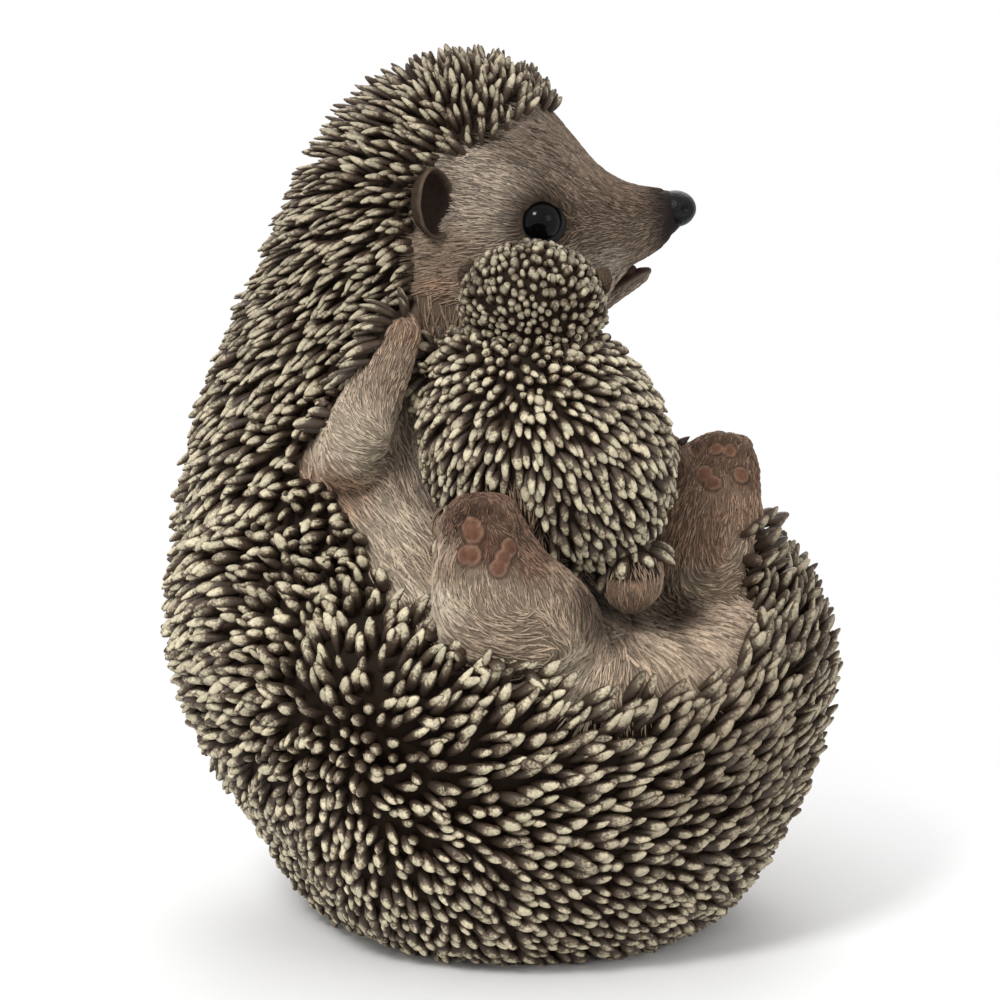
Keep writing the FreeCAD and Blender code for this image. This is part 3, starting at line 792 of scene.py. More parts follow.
class Coat:
    """Where a figure is quilled, and the clearings in its coat."""

    def __init__(self, surface, quilled, bare, clearings):
        self.weights = [1.0] * len(quilled) + [-BARE_WEIGHT] * len(bare)
        self.tree = KDTree(len(self.weights))
        for index, place in enumerate(quilled + bare):
            self.tree.insert(place, index)
        self.tree.balance()
        self.clearings = [(column, row, reach, seen_place(surface, column, row))
                          for column, row, reach in clearings + HEM_CLEARINGS]

    def share(self, places, reach):
        """How much of the neighbourhood of each place is quilled, from 0 to 1."""
        shares = []
        for place in places:
            total = 0.0
            weight = 0.0
            for _, index, distance in self.tree.find_n(Vector(place), COAT_NEIGHBOURS):
                near = math.exp(-(distance / reach) ** 2) + SPECK
                total += near * self.weights[index]
                weight += near * abs(self.weights[index])
            shares.append((1 + total / weight) / 2)
        return np.array(shares)

    def clear(self, places):
        """True where no clearing reaches; a clearing ends at a depth behind the surface that is seen."""
        seen = photo_places(places)
        clear = np.ones(len(places), bool)
        for column, row, reach, middle in self.clearings:
            near = np.hypot(seen[:, 0] - column, seen[:, 1] - row) < reach
            clear &= ~(near & ((places - middle) @ SIGHT < CLEARING_DEPTH))
        return clear


mother_coat = Coat(mother_surface, mother_quilled, mother_bare, COAT_CLEARINGS)
baby_coat = Coat(baby_surface, baby_quilled, baby_bare, BABY_CLEARINGS)


# Combing of the mother's coat: x and z in millimetres, then the lean there
COAT_FLOW = np.array((
    (-44, 55, 0.00, 0.00), (-36, 68, 0.10, 0.75), (-20, 66, 0.65, 0.55), (-20, 46, 0.75, 0.20),
    (-44, 36, 0.00, -0.70), (-64, 58, -0.75, -0.10), (-60, 30, -0.50, -0.60), (-5, 60, 0.75, 0.60),
    (24, 42, 0.85, 0.45), (0, 20, 0.80, -0.15), (35, 62, 0.55, 0.75), (55, 45, 0.75, 0.55),
    (40, 12, 0.75, -0.25), (-25, 8, 0.35, -0.75), (66, 80, 0.35, 0.85), (68, 55, 0.60, 0.65),
    (-66, 80, -0.70, -0.45), (-50, 84, -0.30, 0.20), (-40, 100, -0.20, -0.20), (-62, 110, -0.55, -0.75),
    (-38, 118, -0.10, -0.35), (-55, 135, -0.60, -0.80), (-40, 150, -0.55, -0.80),
    (-45, 165, -0.75, -0.60), (-25, 165, -0.70, -0.55), (-28, 185, -0.80, 0.10), (-15, 178, -0.80, 0.25),
    (-8, 195, -0.25, 0.60), (6, 192, 0.30, 0.70), (2, 184, 0.05, 0.85),
))
COAT_FLOW_BLEND = 6


def coat_flow(places):
    """Lean of the mother's quills, blended between the combed places."""
    lean = blended(places[:, [0, 2]] / MM, COAT_FLOW[:, :2], COAT_FLOW[:, 2:], COAT_FLOW_BLEND)
    return np.stack([lean[:, 0], np.zeros(len(lean)), lean[:, 1]], axis=1)


# Rings of a quill: place along it, girth, girth of a blunt one, and how far the pale dab covers it
QUILL_RINGS = np.array((
    (0.00, 0.60, 0.60, 0.00), (0.20, 0.82, 0.80, 0.00), (0.42, 0.98, 0.92, 0.05), (0.60, 1.00, 1.00, 0.70),
    (0.77, 0.84, 1.02, 1.00), (0.90, 0.58, 0.88, 1.00), (0.98, 0.30, 0.52, 0.80),
))
QUILL_SIDES = 7
ROOT_DEPTH = 0.8 * MM
# How a quill rises and leans
UPRIGHT_RISE = 0.5
LEAN_SHARE = 1.05
WAVER = 0.3
ARCH = 0.06
# Sizes and tones, each a start and what lean or chance adds
LONG_BY_LEAN = (0.62, 0.38)
LONG_BY_CHANCE = (0.80, 0.36)
THICK_BY_CHANCE = (0.70, 0.52)
WORN_BY_CHANCE = (0.54, 0.44)
TONE_BY_CHANCE = (0.74, 0.34)
THICK_SHARE = 0.94
# The pale dab: how far a side faces out, and the end that is covered all round
DAB_FACING = (0.36, 1.0)
DAB_END = (0.72, 0.95)
# Small pushes that keep a straight quill's sides defined
ACROSS_NUDGE = 1e-4
SIGN_NUDGE = 1e-9


def quill_coat(name, places, normals, lean, length, girth, cream, rise, blunt, stray, pits, end_cover):
    """Tapering quills that rise from their places and lean with the combing."""
    count = len(places)
    jitter = rng.normal(size=(count, 3)) * stray
    lean = tangent(lean + jitter, normals)
    slant = np.minimum(np.linalg.norm(lean, axis=1), 1.0)
    upward = rise + UPRIGHT_RISE * (1 - slant)
    ahead = unit(normals * upward[:, None] + lean * LEAN_SHARE + jitter * WAVER)
    across = unit(np.cross(ahead, normals + ACROSS_NUDGE))
    upright = unit(np.cross(across, ahead))
    upright *= np.sign(np.sum(upright * normals, axis=1, keepdims=True) + SIGN_NUDGE)
    long = length * ramp(LONG_BY_LEAN, slant) * varied(LONG_BY_CHANCE, count)
    thick = girth * varied(THICK_BY_CHANCE, count)
    along, swell, knob, dab = QUILL_RINGS.T
    base = places - normals * ROOT_DEPTH
    arch = np.sin(along * np.pi) * ARCH
    paths = (base[:, None] + ahead[:, None] * (along[None, :, None] * long[:, None, None])
             + upright[:, None] * (arch[None, :, None] * long[:, None, None]))
    rings = len(along)
    widths = mixed(swell[None], knob[None], np.reshape(blunt, (-1, 1))) * thick[:, None]
    facing = (1 + np.sin(ring_turns(QUILL_SIDES))) / 2
    worn = varied(WORN_BY_CHANCE, (count, 1, 1))
    band = smooth_step(facing, *DAB_FACING)[None, None]
    end = smooth_step(along, *DAB_END)[None, :, None] * end_cover
    cover = np.clip(dab[None, :, None] * mixed(band, 1, end) * worn, 0, 1)
    tone = cream * varied(TONE_BY_CHANCE, (count, 1))
    paint = np.concatenate([np.broadcast_to(tone[:, None, None], (count, rings, QUILL_SIDES, 3)),
                            cover[..., None]], axis=3)
    pitted = rng.random(count) < pits
    widths[pitted, -1] *= PIT_FLARE
    return tubes(name, quill_material, QUILL_SIDES, paths, np.repeat(across[:, None], rings, axis=1),
                 np.repeat(upright[:, None], rings, axis=1), widths, widths * THICK_SHARE, paint, pitted)


# Shorter, more upright and darker quills: column, row, reach in pixels, and share
LENGTH_SPOTS = (
    (350, 95, 60, 1.55), (835, 660, 60, 1.25), (165, 620, 60, 1.2), (250, 860, 90, 0.48),
    (400, 955, 60, 0.75), (772, 508, 28, 0.80), (802, 565, 40, 1.25), (455, 630, 40, 0.75),
)
LEAN_SPOTS = ((770, 545, 60, 0.35),)
# Darker quills: browner paint at the far rim, and painted shade at the lower right, where less light falls
BROWN_AND_SHADE_SPOTS = ((720, 760, 110, 0.60), (775, 545, 60, 0.62), (800, 640, 50, 0.80), (560, 900, 90, 0.88))


def spot_shares(places, spots):
    """Share at each place, 1 where no spot reaches."""
    seen = photo_places(places)
    shares = np.ones(len(places))
    for column, row, reach, share in spots:
        near = np.exp(-((seen[:, 0] - column) ** 2 + (seen[:, 1] - row) ** 2) / reach ** 2)
        shares *= 1 + (share - 1) * near
    return shares


# The mother's quills: each start holds at the foot, and its rise is what the head adds
QUILL_CANDIDATES = 110000
QUILLED_SHARE = 0.5
COAT_REACH = 6 * MM
LOWEST_QUILL = 2.2 * MM
BODY_SPACING = 2.62 * MM
HEAD_SPACING = 1.85 * MM
SPACING_BY_LEAN = (0.84, 0.16)
QUILL_LENGTH = (9.6 * MM, -1.3 * MM)
QUILL_GIRTH = (1.34 * MM, -0.46 * MM)
QUILL_RISE = (0.58, 0.34)
QUILL_STYLE = {"blunt": 0.0, "stray": 0.15, "pits": 0.0, "end_cover": 0.45}
HEAD_GREY = 0.8
TONE_STRENGTH = 1.6
FOOT_SHORT = 0.62
FOOT_LEVELS = (8 * MM, 60 * MM)
HEAD_LEVELS = (98 * MM, 158 * MM)
COAT_PARTS = ("mother_quills_flank", "mother_quills_back", "mother_quills_crown")
COAT_LEVELS = (50 * MM, 125 * MM)

places, normals = mother_surface.sample(QUILL_CANDIDATES)
keep = mother_coat.share(places, COAT_REACH) > QUILLED_SHARE
keep &= (places[:, 2] > LOWEST_QUILL) & mother_coat.clear(places)
places, normals = places[keep], normals[keep]
upper = smooth_step(places[:, 2], *HEAD_LEVELS)
slant = np.minimum(np.linalg.norm(coat_flow(places), axis=1), 1)
chosen = spread(places, mixed(BODY_SPACING, HEAD_SPACING, upper) * ramp(SPACING_BY_LEAN, slant))
places, normals, upper = places[chosen], normals[chosen], upper[chosen]
lean = coat_flow(places) * spot_shares(places, LEAN_SPOTS)[:, None]
cream = mixed(PAINT["cream"], PAINT["cream_grey"], HEAD_GREY * upper[:, None])
# Cream mixed towards brown at those spots; at the lower right this is painted shade
shade = (1 - spot_shares(places, BROWN_AND_SHADE_SPOTS))[:, None] * TONE_STRENGTH
cream = mixed(cream, PAINT["rim_brown_and_shade"], np.minimum(shade, 1))
short = mixed(FOOT_SHORT, 1, smooth_step(places[:, 2], *FOOT_LEVELS))
length = ramp(QUILL_LENGTH, upper) * short * spot_shares(places, LENGTH_SPOTS)
quill_values = (places, normals, lean, length, ramp(QUILL_GIRTH, upper), cream, ramp(QUILL_RISE, upper))
levels = np.digitize(places[:, 2], COAT_LEVELS)
for level, name in enumerate(COAT_PARTS):
    coat = quill_coat(name, *(value[levels == level] for value in quill_values), **QUILL_STYLE)
    finish_coat(coat, "quilled_coat")

# The young one's quills, which part at a place on its head: x and z in millimetres
BABY_CANDIDATES = 40000
BABY_COAT_REACH = 4 * MM
BABY_PART = np.array((2, 0, 150))
BABY_FAN = 30
BABY_SPACING = 2.0 * MM
BABY_HEAD_SPACING = 1.62 * MM
BABY_SPACING_BY_PART = (0.80, 0.20)
BABY_SHOULDER = 118 * MM
BABY_TURNED = 0.1
BABY_HEAD_LEVELS = (138 * MM, 148 * MM)
BABY_HEAD_LEAN = np.array((0, 0, 0.38))
BABY_CREAM = (0.90, -0.26)
BABY_LENGTH = (6.4 * MM, -2.4 * MM)
BABY_GIRTH = (1.16 * MM, -0.26 * MM)
BABY_BLUNT = 0.7
BABY_STYLE = {"rise": 0.50, "stray": 0.12, "pits": 0.12, "end_cover": 0.62}


def from_part(places):
    """Way from the parting of the young one's quills, flat as the camera sees it."""
    return (places / MM - BABY_PART) * (1, 0, 1) / BABY_FAN


places, normals = baby_surface.sample(BABY_CANDIDATES)
turned_here = (normals @ SIGHT < BABY_TURNED) & (places[:, 2] > BABY_SHOULDER)
keep = (baby_coat.share(places, BABY_COAT_REACH) > QUILLED_SHARE) | turned_here
keep &= baby_coat.clear(places)
places, normals = places[keep], normals[keep]
on_head = smooth_step(places[:, 2], *BABY_HEAD_LEVELS)
near_part = np.minimum(np.linalg.norm(from_part(places), axis=1), 1)
spacing = mixed(BABY_SPACING, BABY_HEAD_SPACING, on_head) * ramp(BABY_SPACING_BY_PART, near_part)
chosen = spread(places, spacing)
places, normals, on_head = places[chosen], normals[chosen], on_head[chosen]
away = from_part(places)
away /= np.maximum(1, np.linalg.norm(away, axis=1, keepdims=True))
lean = mixed(away, BABY_HEAD_LEAN, on_head[:, None])
cream = PAINT["cream"] * ramp(BABY_CREAM, on_head)[:, None]
coat = quill_coat("baby_quills", places, normals, lean, ramp(BABY_LENGTH, on_head),
                  ramp(BABY_GIRTH, on_head), cream, blunt=BABY_BLUNT * on_head, **BABY_STYLE)
finish_coat(coat, "quilled_coat")


# Lie of the fur seen in the photograph: column, row, then the way to the hair tips, right and down
FUR_FLOW = np.array((
    (415, 345, -0.30, 0.90), (400, 375, -0.30, 0.90), (385, 405, 0.10, 0.90), (368, 430, 0.75, 0.55),
    (350, 445, 0.85, 0.35), (375, 450, 0.95, 0.05), (335, 470, 0.50, 0.80), (355, 480, 0.70, 0.60),
    (400, 420, 0.30, 0.90), (410, 470, 0.25, 0.95), (385, 505, 0.55, 0.80), (420, 530, 0.60, 0.75),
    (400, 560, 0.50, 0.80), (430, 585, 0.40, 0.90), (450, 618, 0.80, 0.50), (485, 645, 0.95, 0.25),
    (530, 655, 1.00, 0.00), (480, 585, 0.20, 0.95), (500, 600, 0.30, 0.95), (530, 595, 0.30, 0.95),
    (555, 580, 0.45, 0.90), (545, 560, 0.60, 0.80), (560, 605, 0.15, 1.00), (505, 622, 0.90, 0.15),
    (530, 622, 0.70, -0.20), (560, 635, 0.60, 0.60), (585, 620, 0.20, 1.00), (470, 560, -0.20, 0.95),
    (450, 530, -0.50, 0.70), (520, 530, 0.70, 0.55), (590, 650, -0.60, 0.60), (560, 670, -0.85, 0.45),
    (610, 665, -0.40, 0.90), (635, 665, 0.10, 1.00), (665, 660, 0.50, 0.80), (700, 650, 0.80, 0.55),
    (730, 625, 0.90, 0.20), (690, 620, 0.70, 0.60), (665, 610, 0.30, 0.90), (690, 500, -0.15, 1.00),
    (720, 505, 0.00, 1.00), (742, 495, -0.20, 1.00), (682, 535, -0.35, 0.95), (680, 565, -0.10, 1.00),
    (700, 582, 0.80, 0.30), (725, 578, 0.85, -0.40), (742, 555, 0.35, -0.85), (725, 530, -0.30, 0.90),
    (708, 550, 0.20, 0.90), (752, 580, 0.40, 0.80), (745, 610, 0.70, 0.30), (430, 320, 0.10, 1.00),
    (440, 290, 0.00, 1.00), (520, 690, -0.90, 0.20), (620, 700, 0.00, 1.00), (720, 680, 0.80, 0.40),
))
FUR_BLEND = 9.0
# Tones of the skin and the fur seen in the photograph: column, row, paint, and size of the hairs
# The fur_dark spots below the young one are its shadow, painted on the mother's belly
FUR_TONES = (
    (418, 336, "fur_warm", 0.35), (415, 352, "fur_arm", 0.40), (400, 380, "fur_arm", 0.45),
    (370, 430, "fur_pale", 0.50), (350, 455, "fur_pale", 0.55), (335, 480, "fur_warm", 0.90),
    (400, 440, "fur_grey", 0.80), (415, 480, "fur_grey", 0.80), (395, 520, "fur_pale", 0.95),
    (430, 555, "fur_light", 0.90), (420, 600, "fur_pale", 0.95), (445, 590, "fur_pale", 0.70),
    (480, 640, "fur_light", 1.00), (530, 650, "fur_light", 1.00), (490, 590, "fur_light", 0.50),
    (510, 610, "fur_light", 0.55), (545, 605, "fur_light", 0.60), (560, 575, "fur_mid", 0.50),
    (530, 560, "fur_brown", 0.40), (590, 590, "fur_dark", 0.80), (610, 610, "fur_dark", 0.80),
    (482, 506, "foot", 0.30), (460, 512, "foot", 0.30), (505, 520, "fur_brown", 0.35),
    (486, 545, "sole", 0.30), (450, 570, "fur_mid", 0.50), (575, 665, "fur_pale", 1.15),
    (610, 665, "fur_light", 1.25), (650, 660, "fur_light", 1.25), (700, 645, "fur_light", 1.15),
    (730, 620, "fur_light", 0.90), (670, 610, "fur_dark", 0.70), (700, 580, "fur_light", 0.60),
    (715, 545, "fur_warm", 0.55), (740, 560, "fur_light", 0.60), (685, 530, "fur_warm", 0.60),
    (700, 505, "fur_warm", 0.45), (735, 505, "fur_warm", 0.45), (720, 455, "fur_brown", 0.30),
    (703, 448, "fur_brown", 0.30), (712, 485, "fur_warm", 0.30), (745, 470, "fur_brown", 0.30),
    (435, 300, "fur_mid", 1.00), (620, 690, "fur_light", 1.10),
)
# The same for the face
FACE_TONES = (
    (470, 175, "face", 1.0), (480, 205, "face", 1.0), (500, 185, "face", 1.0),
    (450, 245, "face_back", 1.4), (440, 290, "fur_warm", 1.2), (455, 320, "face", 1.1),
    (430, 270, "face_back", 1.2), (520, 145, "face_shade", 1.0), (550, 130, "face_shade", 1.0),
    (560, 165, "face_shade", 0.9), (590, 195, "muzzle", 0.8), (620, 198, "muzzle_top", 0.75),
    (645, 196, "muzzle_top", 0.7), (625, 228, "face_back", 0.75), (600, 240, "face_back", 0.8),
    (578, 215, "muzzle_top", 0.8), (618, 258, "face", 0.8), (590, 275, "face", 0.9),
    (640, 242, "muzzle", 0.7), (565, 265, "muzzle", 0.9), (425, 200, "face_back", 0.9),
)


def table_columns(table):
    """Places, paints and hair sizes of a table of tones."""
    spots = np.array([(column, row) for column, row, _, _ in table], float)
    paints = np.array([PAINT[paint] for _, _, paint, _ in table])
    sizes = np.array([[size] for _, _, _, size in table])
    return spots, paints, sizes


FUR_SPOTS, FUR_SPOT_PAINTS, FUR_SPOT_SIZES = table_columns(FUR_TONES)
FACE_SPOTS, FACE_SPOT_PAINTS, FACE_SPOT_SIZES = table_columns(FACE_TONES)
# How far the dark of the nose and of the eyes reaches, in millimetres, and how dark the eyes' is
COLLAR_REACH = (7.5, 15.0)
EYE_SHADE_REACH = (5.8, 11.0)
EYE_SHADE = 0.8
# The face begins where z and a share of x reach these levels, in millimetres
FACE_SLANT = 0.35
FACE_LEVELS = (143, 149)
FACE_HALF = 0.5
# The way the hairs of the face part round an eye, and where they all drift
EYE_WHORL = 10.5 * MM
EYE_WHORL_SHARE = 1.5
FACE_DRIFT = np.array((-0.1, 0, 0.12))


def body_fur_flow(places):
    right_down = blended(photo_places(places), FUR_FLOW[:, :2], FUR_FLOW[:, 2:], FUR_BLEND)
    return right_down[:, :1] * RIGHTWARD - right_down[:, 1:] * UPWARD


def face_fur_flow(places):
    """Hairs of the face run back from the nose and part round the eyes."""
    flow = unit(places - NOSE_TIP)
    for eye in EYES:
        away = places - eye
        near = np.exp(-(np.linalg.norm(away, axis=1, keepdims=True) / EYE_WHORL) ** 2)
        flow = flow + unit(away) * near * EYE_WHORL_SHARE
    return flow + FACE_DRIFT


def near_side(places):
    """Places of the head brought over to the side that is seen."""
    mirrored = places.copy()
    mirrored[:, 1] = np.minimum(places[:, 1], 2 * HEAD_MIDDLE * MM - places[:, 1])
    return mirrored


def in_face(places):
    """1 on the face, 0 on the rest of the body."""
    return smooth_step(places[:, 2] / MM + FACE_SLANT * places[:, 0] / MM, *FACE_LEVELS)


def body_tones(places):
    return blended(photo_places(places), FUR_SPOTS, FUR_SPOT_PAINTS, FUR_BLEND)


def face_tones(places):
    """Tones of the face, alike on both sides, with the dark at the nose and round the eyes."""
    tone = blended(photo_places(near_side(places)), FACE_SPOTS, FACE_SPOT_PAINTS, FUR_BLEND)
    collar = 1 - smooth_step(gaps_to(places, NOSE_TIP) / MM, *COLLAR_REACH)
    tone = mixed(tone, PAINT["nose_skin"], collar[:, None])
    for eye in EYES:
        near = 1 - smooth_step(gaps_to(places, eye) / MM, *EYE_SHADE_REACH)
        tone = mixed(tone, PAINT["fur_dark"], EYE_SHADE * near[:, None])
    return tone


def fur_tones(places):
    share = in_face(places)[:, None]
    return body_tones(places) * (1 - share) + face_tones(places) * share


def fur_sizes(places):
    """Share of the full hair size at each place."""
    body = blended(photo_places(places), FUR_SPOTS, FUR_SPOT_SIZES, FUR_BLEND)[:, 0]
    face = blended(photo_places(near_side(places)), FACE_SPOTS, FACE_SPOT_SIZES, FUR_BLEND)[:, 0]
    share = in_face(places)
    return body * (1 - share) + face * share


# Rings of a hair: place along it and girth; a hair that bends more than this is left out
HAIR_RINGS = np.array(((0.0, 0.30), (0.33, 1.00), (0.68, 0.85), (1.0, 0.20)))
HAIR_SIDES = 3
HAIR_BEND = 0.75
HAIR_LIFT = 0.12 * MM
HAIR_STRAY = 0.16
HAIR_LONG_BY_CHANCE = (0.65, 0.7)
HAIR_WIDE_BY_CHANCE = (0.65, 0.85)
HAIR_HEIGHT_SHARE = 1.25
# Tones of a hair: chance, then from its root to its tip, and from its sides to its ridge, the darker sides
# and lighter ridge partly painted shade and highlight
HAIR_CONTRAST = 0.36
HAIR_BRIGHTS = (0.45, 1.50)
HAIR_LIGHTEST = 0.78
HAIR_ALONG = (0.62, 0.62)
HAIR_RIDGE = (0.25, 0.75)


def fur(name, surface, places, normals, flow, length, width, tones, dark, lift=HAIR_LIFT, limits=()):
    """Carved hairs: tapering ridges that follow the skin and the lie of the fur."""
    count, steps = len(places), len(HAIR_RINGS)
    long = length * varied(HAIR_LONG_BY_CHANCE, count)
    stray = rng.normal(size=(count, 3)) * HAIR_STRAY
    paths = np.empty((count, steps, 3))
    ups = np.empty((count, steps, 3))
    place, normal = places.copy(), normals.copy()
    for step in range(steps):
        paths[:, step], ups[:, step] = place, normal
        ahead = unit(tangent(flow(place) + stray, normal))
        place, normal = surface.nearest(place + ahead * (long / (steps - 1))[:, None])
    along, swell = HAIR_RINGS.T
    course = unit(np.gradient(paths, axis=1))
    straight = np.sum(course[:, 1:] * course[:, :-1], axis=2).min(axis=1) > HAIR_BEND
    level = np.sum(ups[:, 1:] * ups[:, :-1], axis=2).min(axis=1) > HAIR_BEND
    kept = straight & level
    for spot, reach in limits:
        kept &= np.linalg.norm(paths - spot, axis=2).min(axis=1) > reach
    paths, ups, course, tones = paths[kept], ups[kept], course[kept], tones[kept]
    width = np.broadcast_to(width, count)[kept]
    count = len(paths)
    across = unit(np.cross(course, ups))
    wide = (width * ramp(HAIR_WIDE_BY_CHANCE, rng.random(count) ** 2))[:, None] * swell[None] / 2
    paths = paths + ups * (lift * np.sin(along * np.pi / 2)[None, :, None])
    ridge = np.clip(np.sin(ring_turns(HAIR_SIDES)), 0, 1)[None, None, :, None]
    bright = np.clip(np.exp(HAIR_CONTRAST * rng.normal(size=(count, 1, 1))), *HAIR_BRIGHTS)
    tone = tones[:, None, None] * (bright * ramp(HAIR_ALONG, along)[None, :, None])[..., None]
    tone = tone * np.minimum(HAIR_LIGHTEST / tone.max(axis=3, keepdims=True), 1)
    # Sides painted darker and the ridge lighter: painted shade and highlight over the dry-brushed paint
    colours = mixed(tones[:, None, None] * dark, tone, ramp(HAIR_RIDGE, ridge))
    paint = np.concatenate([colours, np.ones(colours.shape[:3] + (1,))], axis=3)
    return tubes(name, fur_material, HAIR_SIDES, paths, across, ups, wide, wide * HAIR_HEIGHT_SHARE, paint)


def beyond(places, spots):
    """True where a place is farther from every spot than the spot reaches."""
    clear = np.ones(len(places), bool)
    for spot, reach in spots:
        clear &= gaps_to(places, spot) > reach
    return clear


# The mother's hairs: how many, their full length and width, and how dark their sides are, as painted shade
HAIR_CANDIDATES = 300000
HAIR_REACH = 5 * MM
OPEN_SHARE = 0.58
FACE_FUR = (16000, 3.6 * MM, 0.52 * MM, 0.14)
BODY_FUR = (27000, 5.6 * MM, 0.80 * MM, 0.20)
FULL_HAIRS = 0.35
NARROW_HAIR = (0.3, 0.7)
# Where no hair stands or reaches
NOSE_CLEAR = 8.5 * MM
NOSE_LIMIT = 6.0 * MM
EYE_LIMIT = 5.6 * MM
EAR_LIMIT = 4.2 * MM
EAR_ROOT = EAR_MIDDLE - np.array((1.7, 0, 0)) * MM
PAD_LIMIT_SHARE = 0.85
TOE_GAP_REACH = 0.6 * MM
# Pads of the feet and the gaps between the toes: column and row, and a pad's reach in millimetres
PAD_MARKS = (
    (470, 527, 3.0), (472, 532, 3.1), (463, 555, 2.6), (471, 555, 2.7), (499, 568, 2.4), (504, 558, 2.3),
    (511, 547, 2.6), (716, 449, 1.9), (730, 451, 1.9), (742, 474, 2.4), (705, 473, 2.4), (713, 482, 2.4),
)
TOE_GAPS = ((461, 518), (475, 512), (490, 512), (504, 518), (709, 445), (723, 442), (738, 445))

pads = [(seen_place(mother_surface, column, row), reach * MM) for column, row, reach in PAD_MARKS]
toe_gaps = [seen_place(mother_surface, column, row) for column, row in TOE_GAPS]
eye_spots = [(eye, EYE_LIMIT) for eye in EYES]
hair_limits = [(place, reach * PAD_LIMIT_SHARE) for place, reach in pads]
hair_limits += [(place, TOE_GAP_REACH) for place in toe_gaps] + eye_spots + [(NOSE_TIP, NOSE_LIMIT)]
hair_limits += [(place, EAR_LIMIT) for place in both_sides(EAR_ROOT)]

places, normals = mother_surface.sample(HAIR_CANDIDATES)
open_skin = mother_coat.share(places, HAIR_REACH) < OPEN_SHARE
open_skin |= ~mother_coat.clear(places)
places, normals = places[open_skin], normals[open_skin]
face_part = in_face(places) > FACE_HALF
face_roots = np.flatnonzero(face_part & beyond(places, [(NOSE_TIP, NOSE_CLEAR)] + eye_spots))
denser = rng.random(len(places)) < FULL_HAIRS / fur_sizes(places)
body_roots = np.flatnonzero(~face_part & beyond(places, pads) & denser)
for name, roots, flow, (count, long, wide, dark) in (("face_fur", face_roots, face_fur_flow, FACE_FUR),
                                                     ("body_fur", body_roots, body_fur_flow, BODY_FUR)):
    spots, ups = places[roots[:count]], normals[roots[:count]]
    size = fur_sizes(spots)
    coat = fur(name, mother_surface, spots, ups, flow, long * size, wide * ramp(NARROW_HAIR, size),
               fur_tones(spots), dark, limits=hair_limits)
    finish_coat(coat, "fur")

# The young one's hairs
BABY_HAIR_CANDIDATES = 40000
BABY_HAIRS = 6000
BABY_FUR = (3.2 * MM, 0.50 * MM)
# How dark the sides of the young one's hairs are: painted shade
BABY_FUR_DARK = 0.26
BABY_FUR_FLOW = np.array(((0.1, -0.1, -1.0),))
BABY_LOW_LEVELS = (78 * MM, 90 * MM)

places, normals = baby_surface.sample(BABY_HAIR_CANDIDATES)
open_skin = baby_coat.share(places, BABY_COAT_REACH) < QUILLED_SHARE
open_skin |= ~baby_coat.clear(places)
places, normals = places[open_skin][:BABY_HAIRS], normals[open_skin][:BABY_HAIRS]
low = 1 - smooth_step(places[:, 2], *BABY_LOW_LEVELS)[:, None]
baby_fur = fur("baby_fur", baby_surface, places, normals,
               lambda spots: np.repeat(BABY_FUR_FLOW, len(spots), axis=0), *BABY_FUR,
               mixed(PAINT["fur_mid"], PAINT["fur_brown"], low), BABY_FUR_DARK)
finish_coat(baby_fur, "fur")

# Skins: dark under the quills, dark paint made darker with painted shade, and fur tone elsewhere, with
# pads, creases and the mouth.
# A pad's rings are a paint, a share of the way to the pad's edge, and how strong it is.
# The skin under the fur is painted darker than the hairs: dark paint with painted shade in the grooves
# between them
SKIN_DARKER = 0.44
PAD_FILL = (0.75, 1.0)
# The dark outer ring of a pad is painted shade in the fold round the pad
PAD_RINGS = (("fur_warm", 0.72, 0.30), ("crease_shade", 0.98, 0.75))
PAD_RING_WIDTH = 0.13
TOE_GAP_FADE = (0.6, 1.6)
TOE_GAP_SHARE = 0.3
MOUTH_FADE = (0.5, 1.0)
DEEP_SHARES = (0.45, 0.62)
BABY_DEEP_SHARES = (0.35, 0.6)
BABY_COAT_LEVELS = (88 * MM, 93 * MM)

points = mother_surface.points
# Darker skin between the hairs stands for the shade in the grooves as well as dark paint
paint = fur_tones(points) * SKIN_DARKER
away = np.min([gaps_to(points, place) / reach for place, reach in pads], axis=0)
paint = mixed(paint, PAINT["pad"], (1 - smooth_step(away, *PAD_FILL))[:, None])
for tone, middle, most in PAD_RINGS:
    ring = most * np.exp(-((away - middle) / PAD_RING_WIDTH) ** 2)
    paint = mixed(paint, PAINT[tone], ring[:, None])
# The gaps between the toes are darkened with painted shade
for place in toe_gaps:
    near = 1 - smooth_step(gaps_to(points, place) / TOE_GAP_REACH, *TOE_GAP_FADE)
    paint = mixed(paint, PAINT["crease_shade"], TOE_GAP_SHARE * near[:, None])
# The mouth slit is painted in the dark mouth colour, which also stands for the shade in the slit
for place, reach, _ in mouth_marks:
    near = 1 - smooth_step(gaps_to(points, place) / reach, *MOUTH_FADE)
    paint = mixed(paint, PAINT["mouth"], near[:, None])
# Skin between the quills painted near black: dark paint with painted shade between the quills
share = mother_coat.share(points, HAIR_REACH) * mother_coat.clear(points)
dress(mother_skin, mixed(paint, PAINT["deep"], smooth_step(share, *DEEP_SHARES)[:, None]), skin_material)
finish_piece(mother_skin, "fur", *MOTHER_NODES)

points = baby_surface.points
# The young one's skin between its quills too: dark paint with painted shade
share = baby_coat.share(points, BABY_COAT_REACH) * baby_coat.clear(points)
share = np.maximum(share, smooth_step(points[:, 2], *BABY_COAT_LEVELS))
deep = smooth_step(share, *BABY_DEEP_SHARES)[:, None]
dress(baby_skin, mixed(PAINT["fur_brown"], PAINT["deep"], deep), skin_material)
finish_piece(baby_skin, "fur", *BABY_NODES)


# Rings and balls: how many corners run round them, and how many rings a ball has
ROUND_COLUMNS = 48
EYE_RINGS = 32
NOSE_RINGS = 48
NOSE_COLUMNS = 64
RIM_SIDES = 12


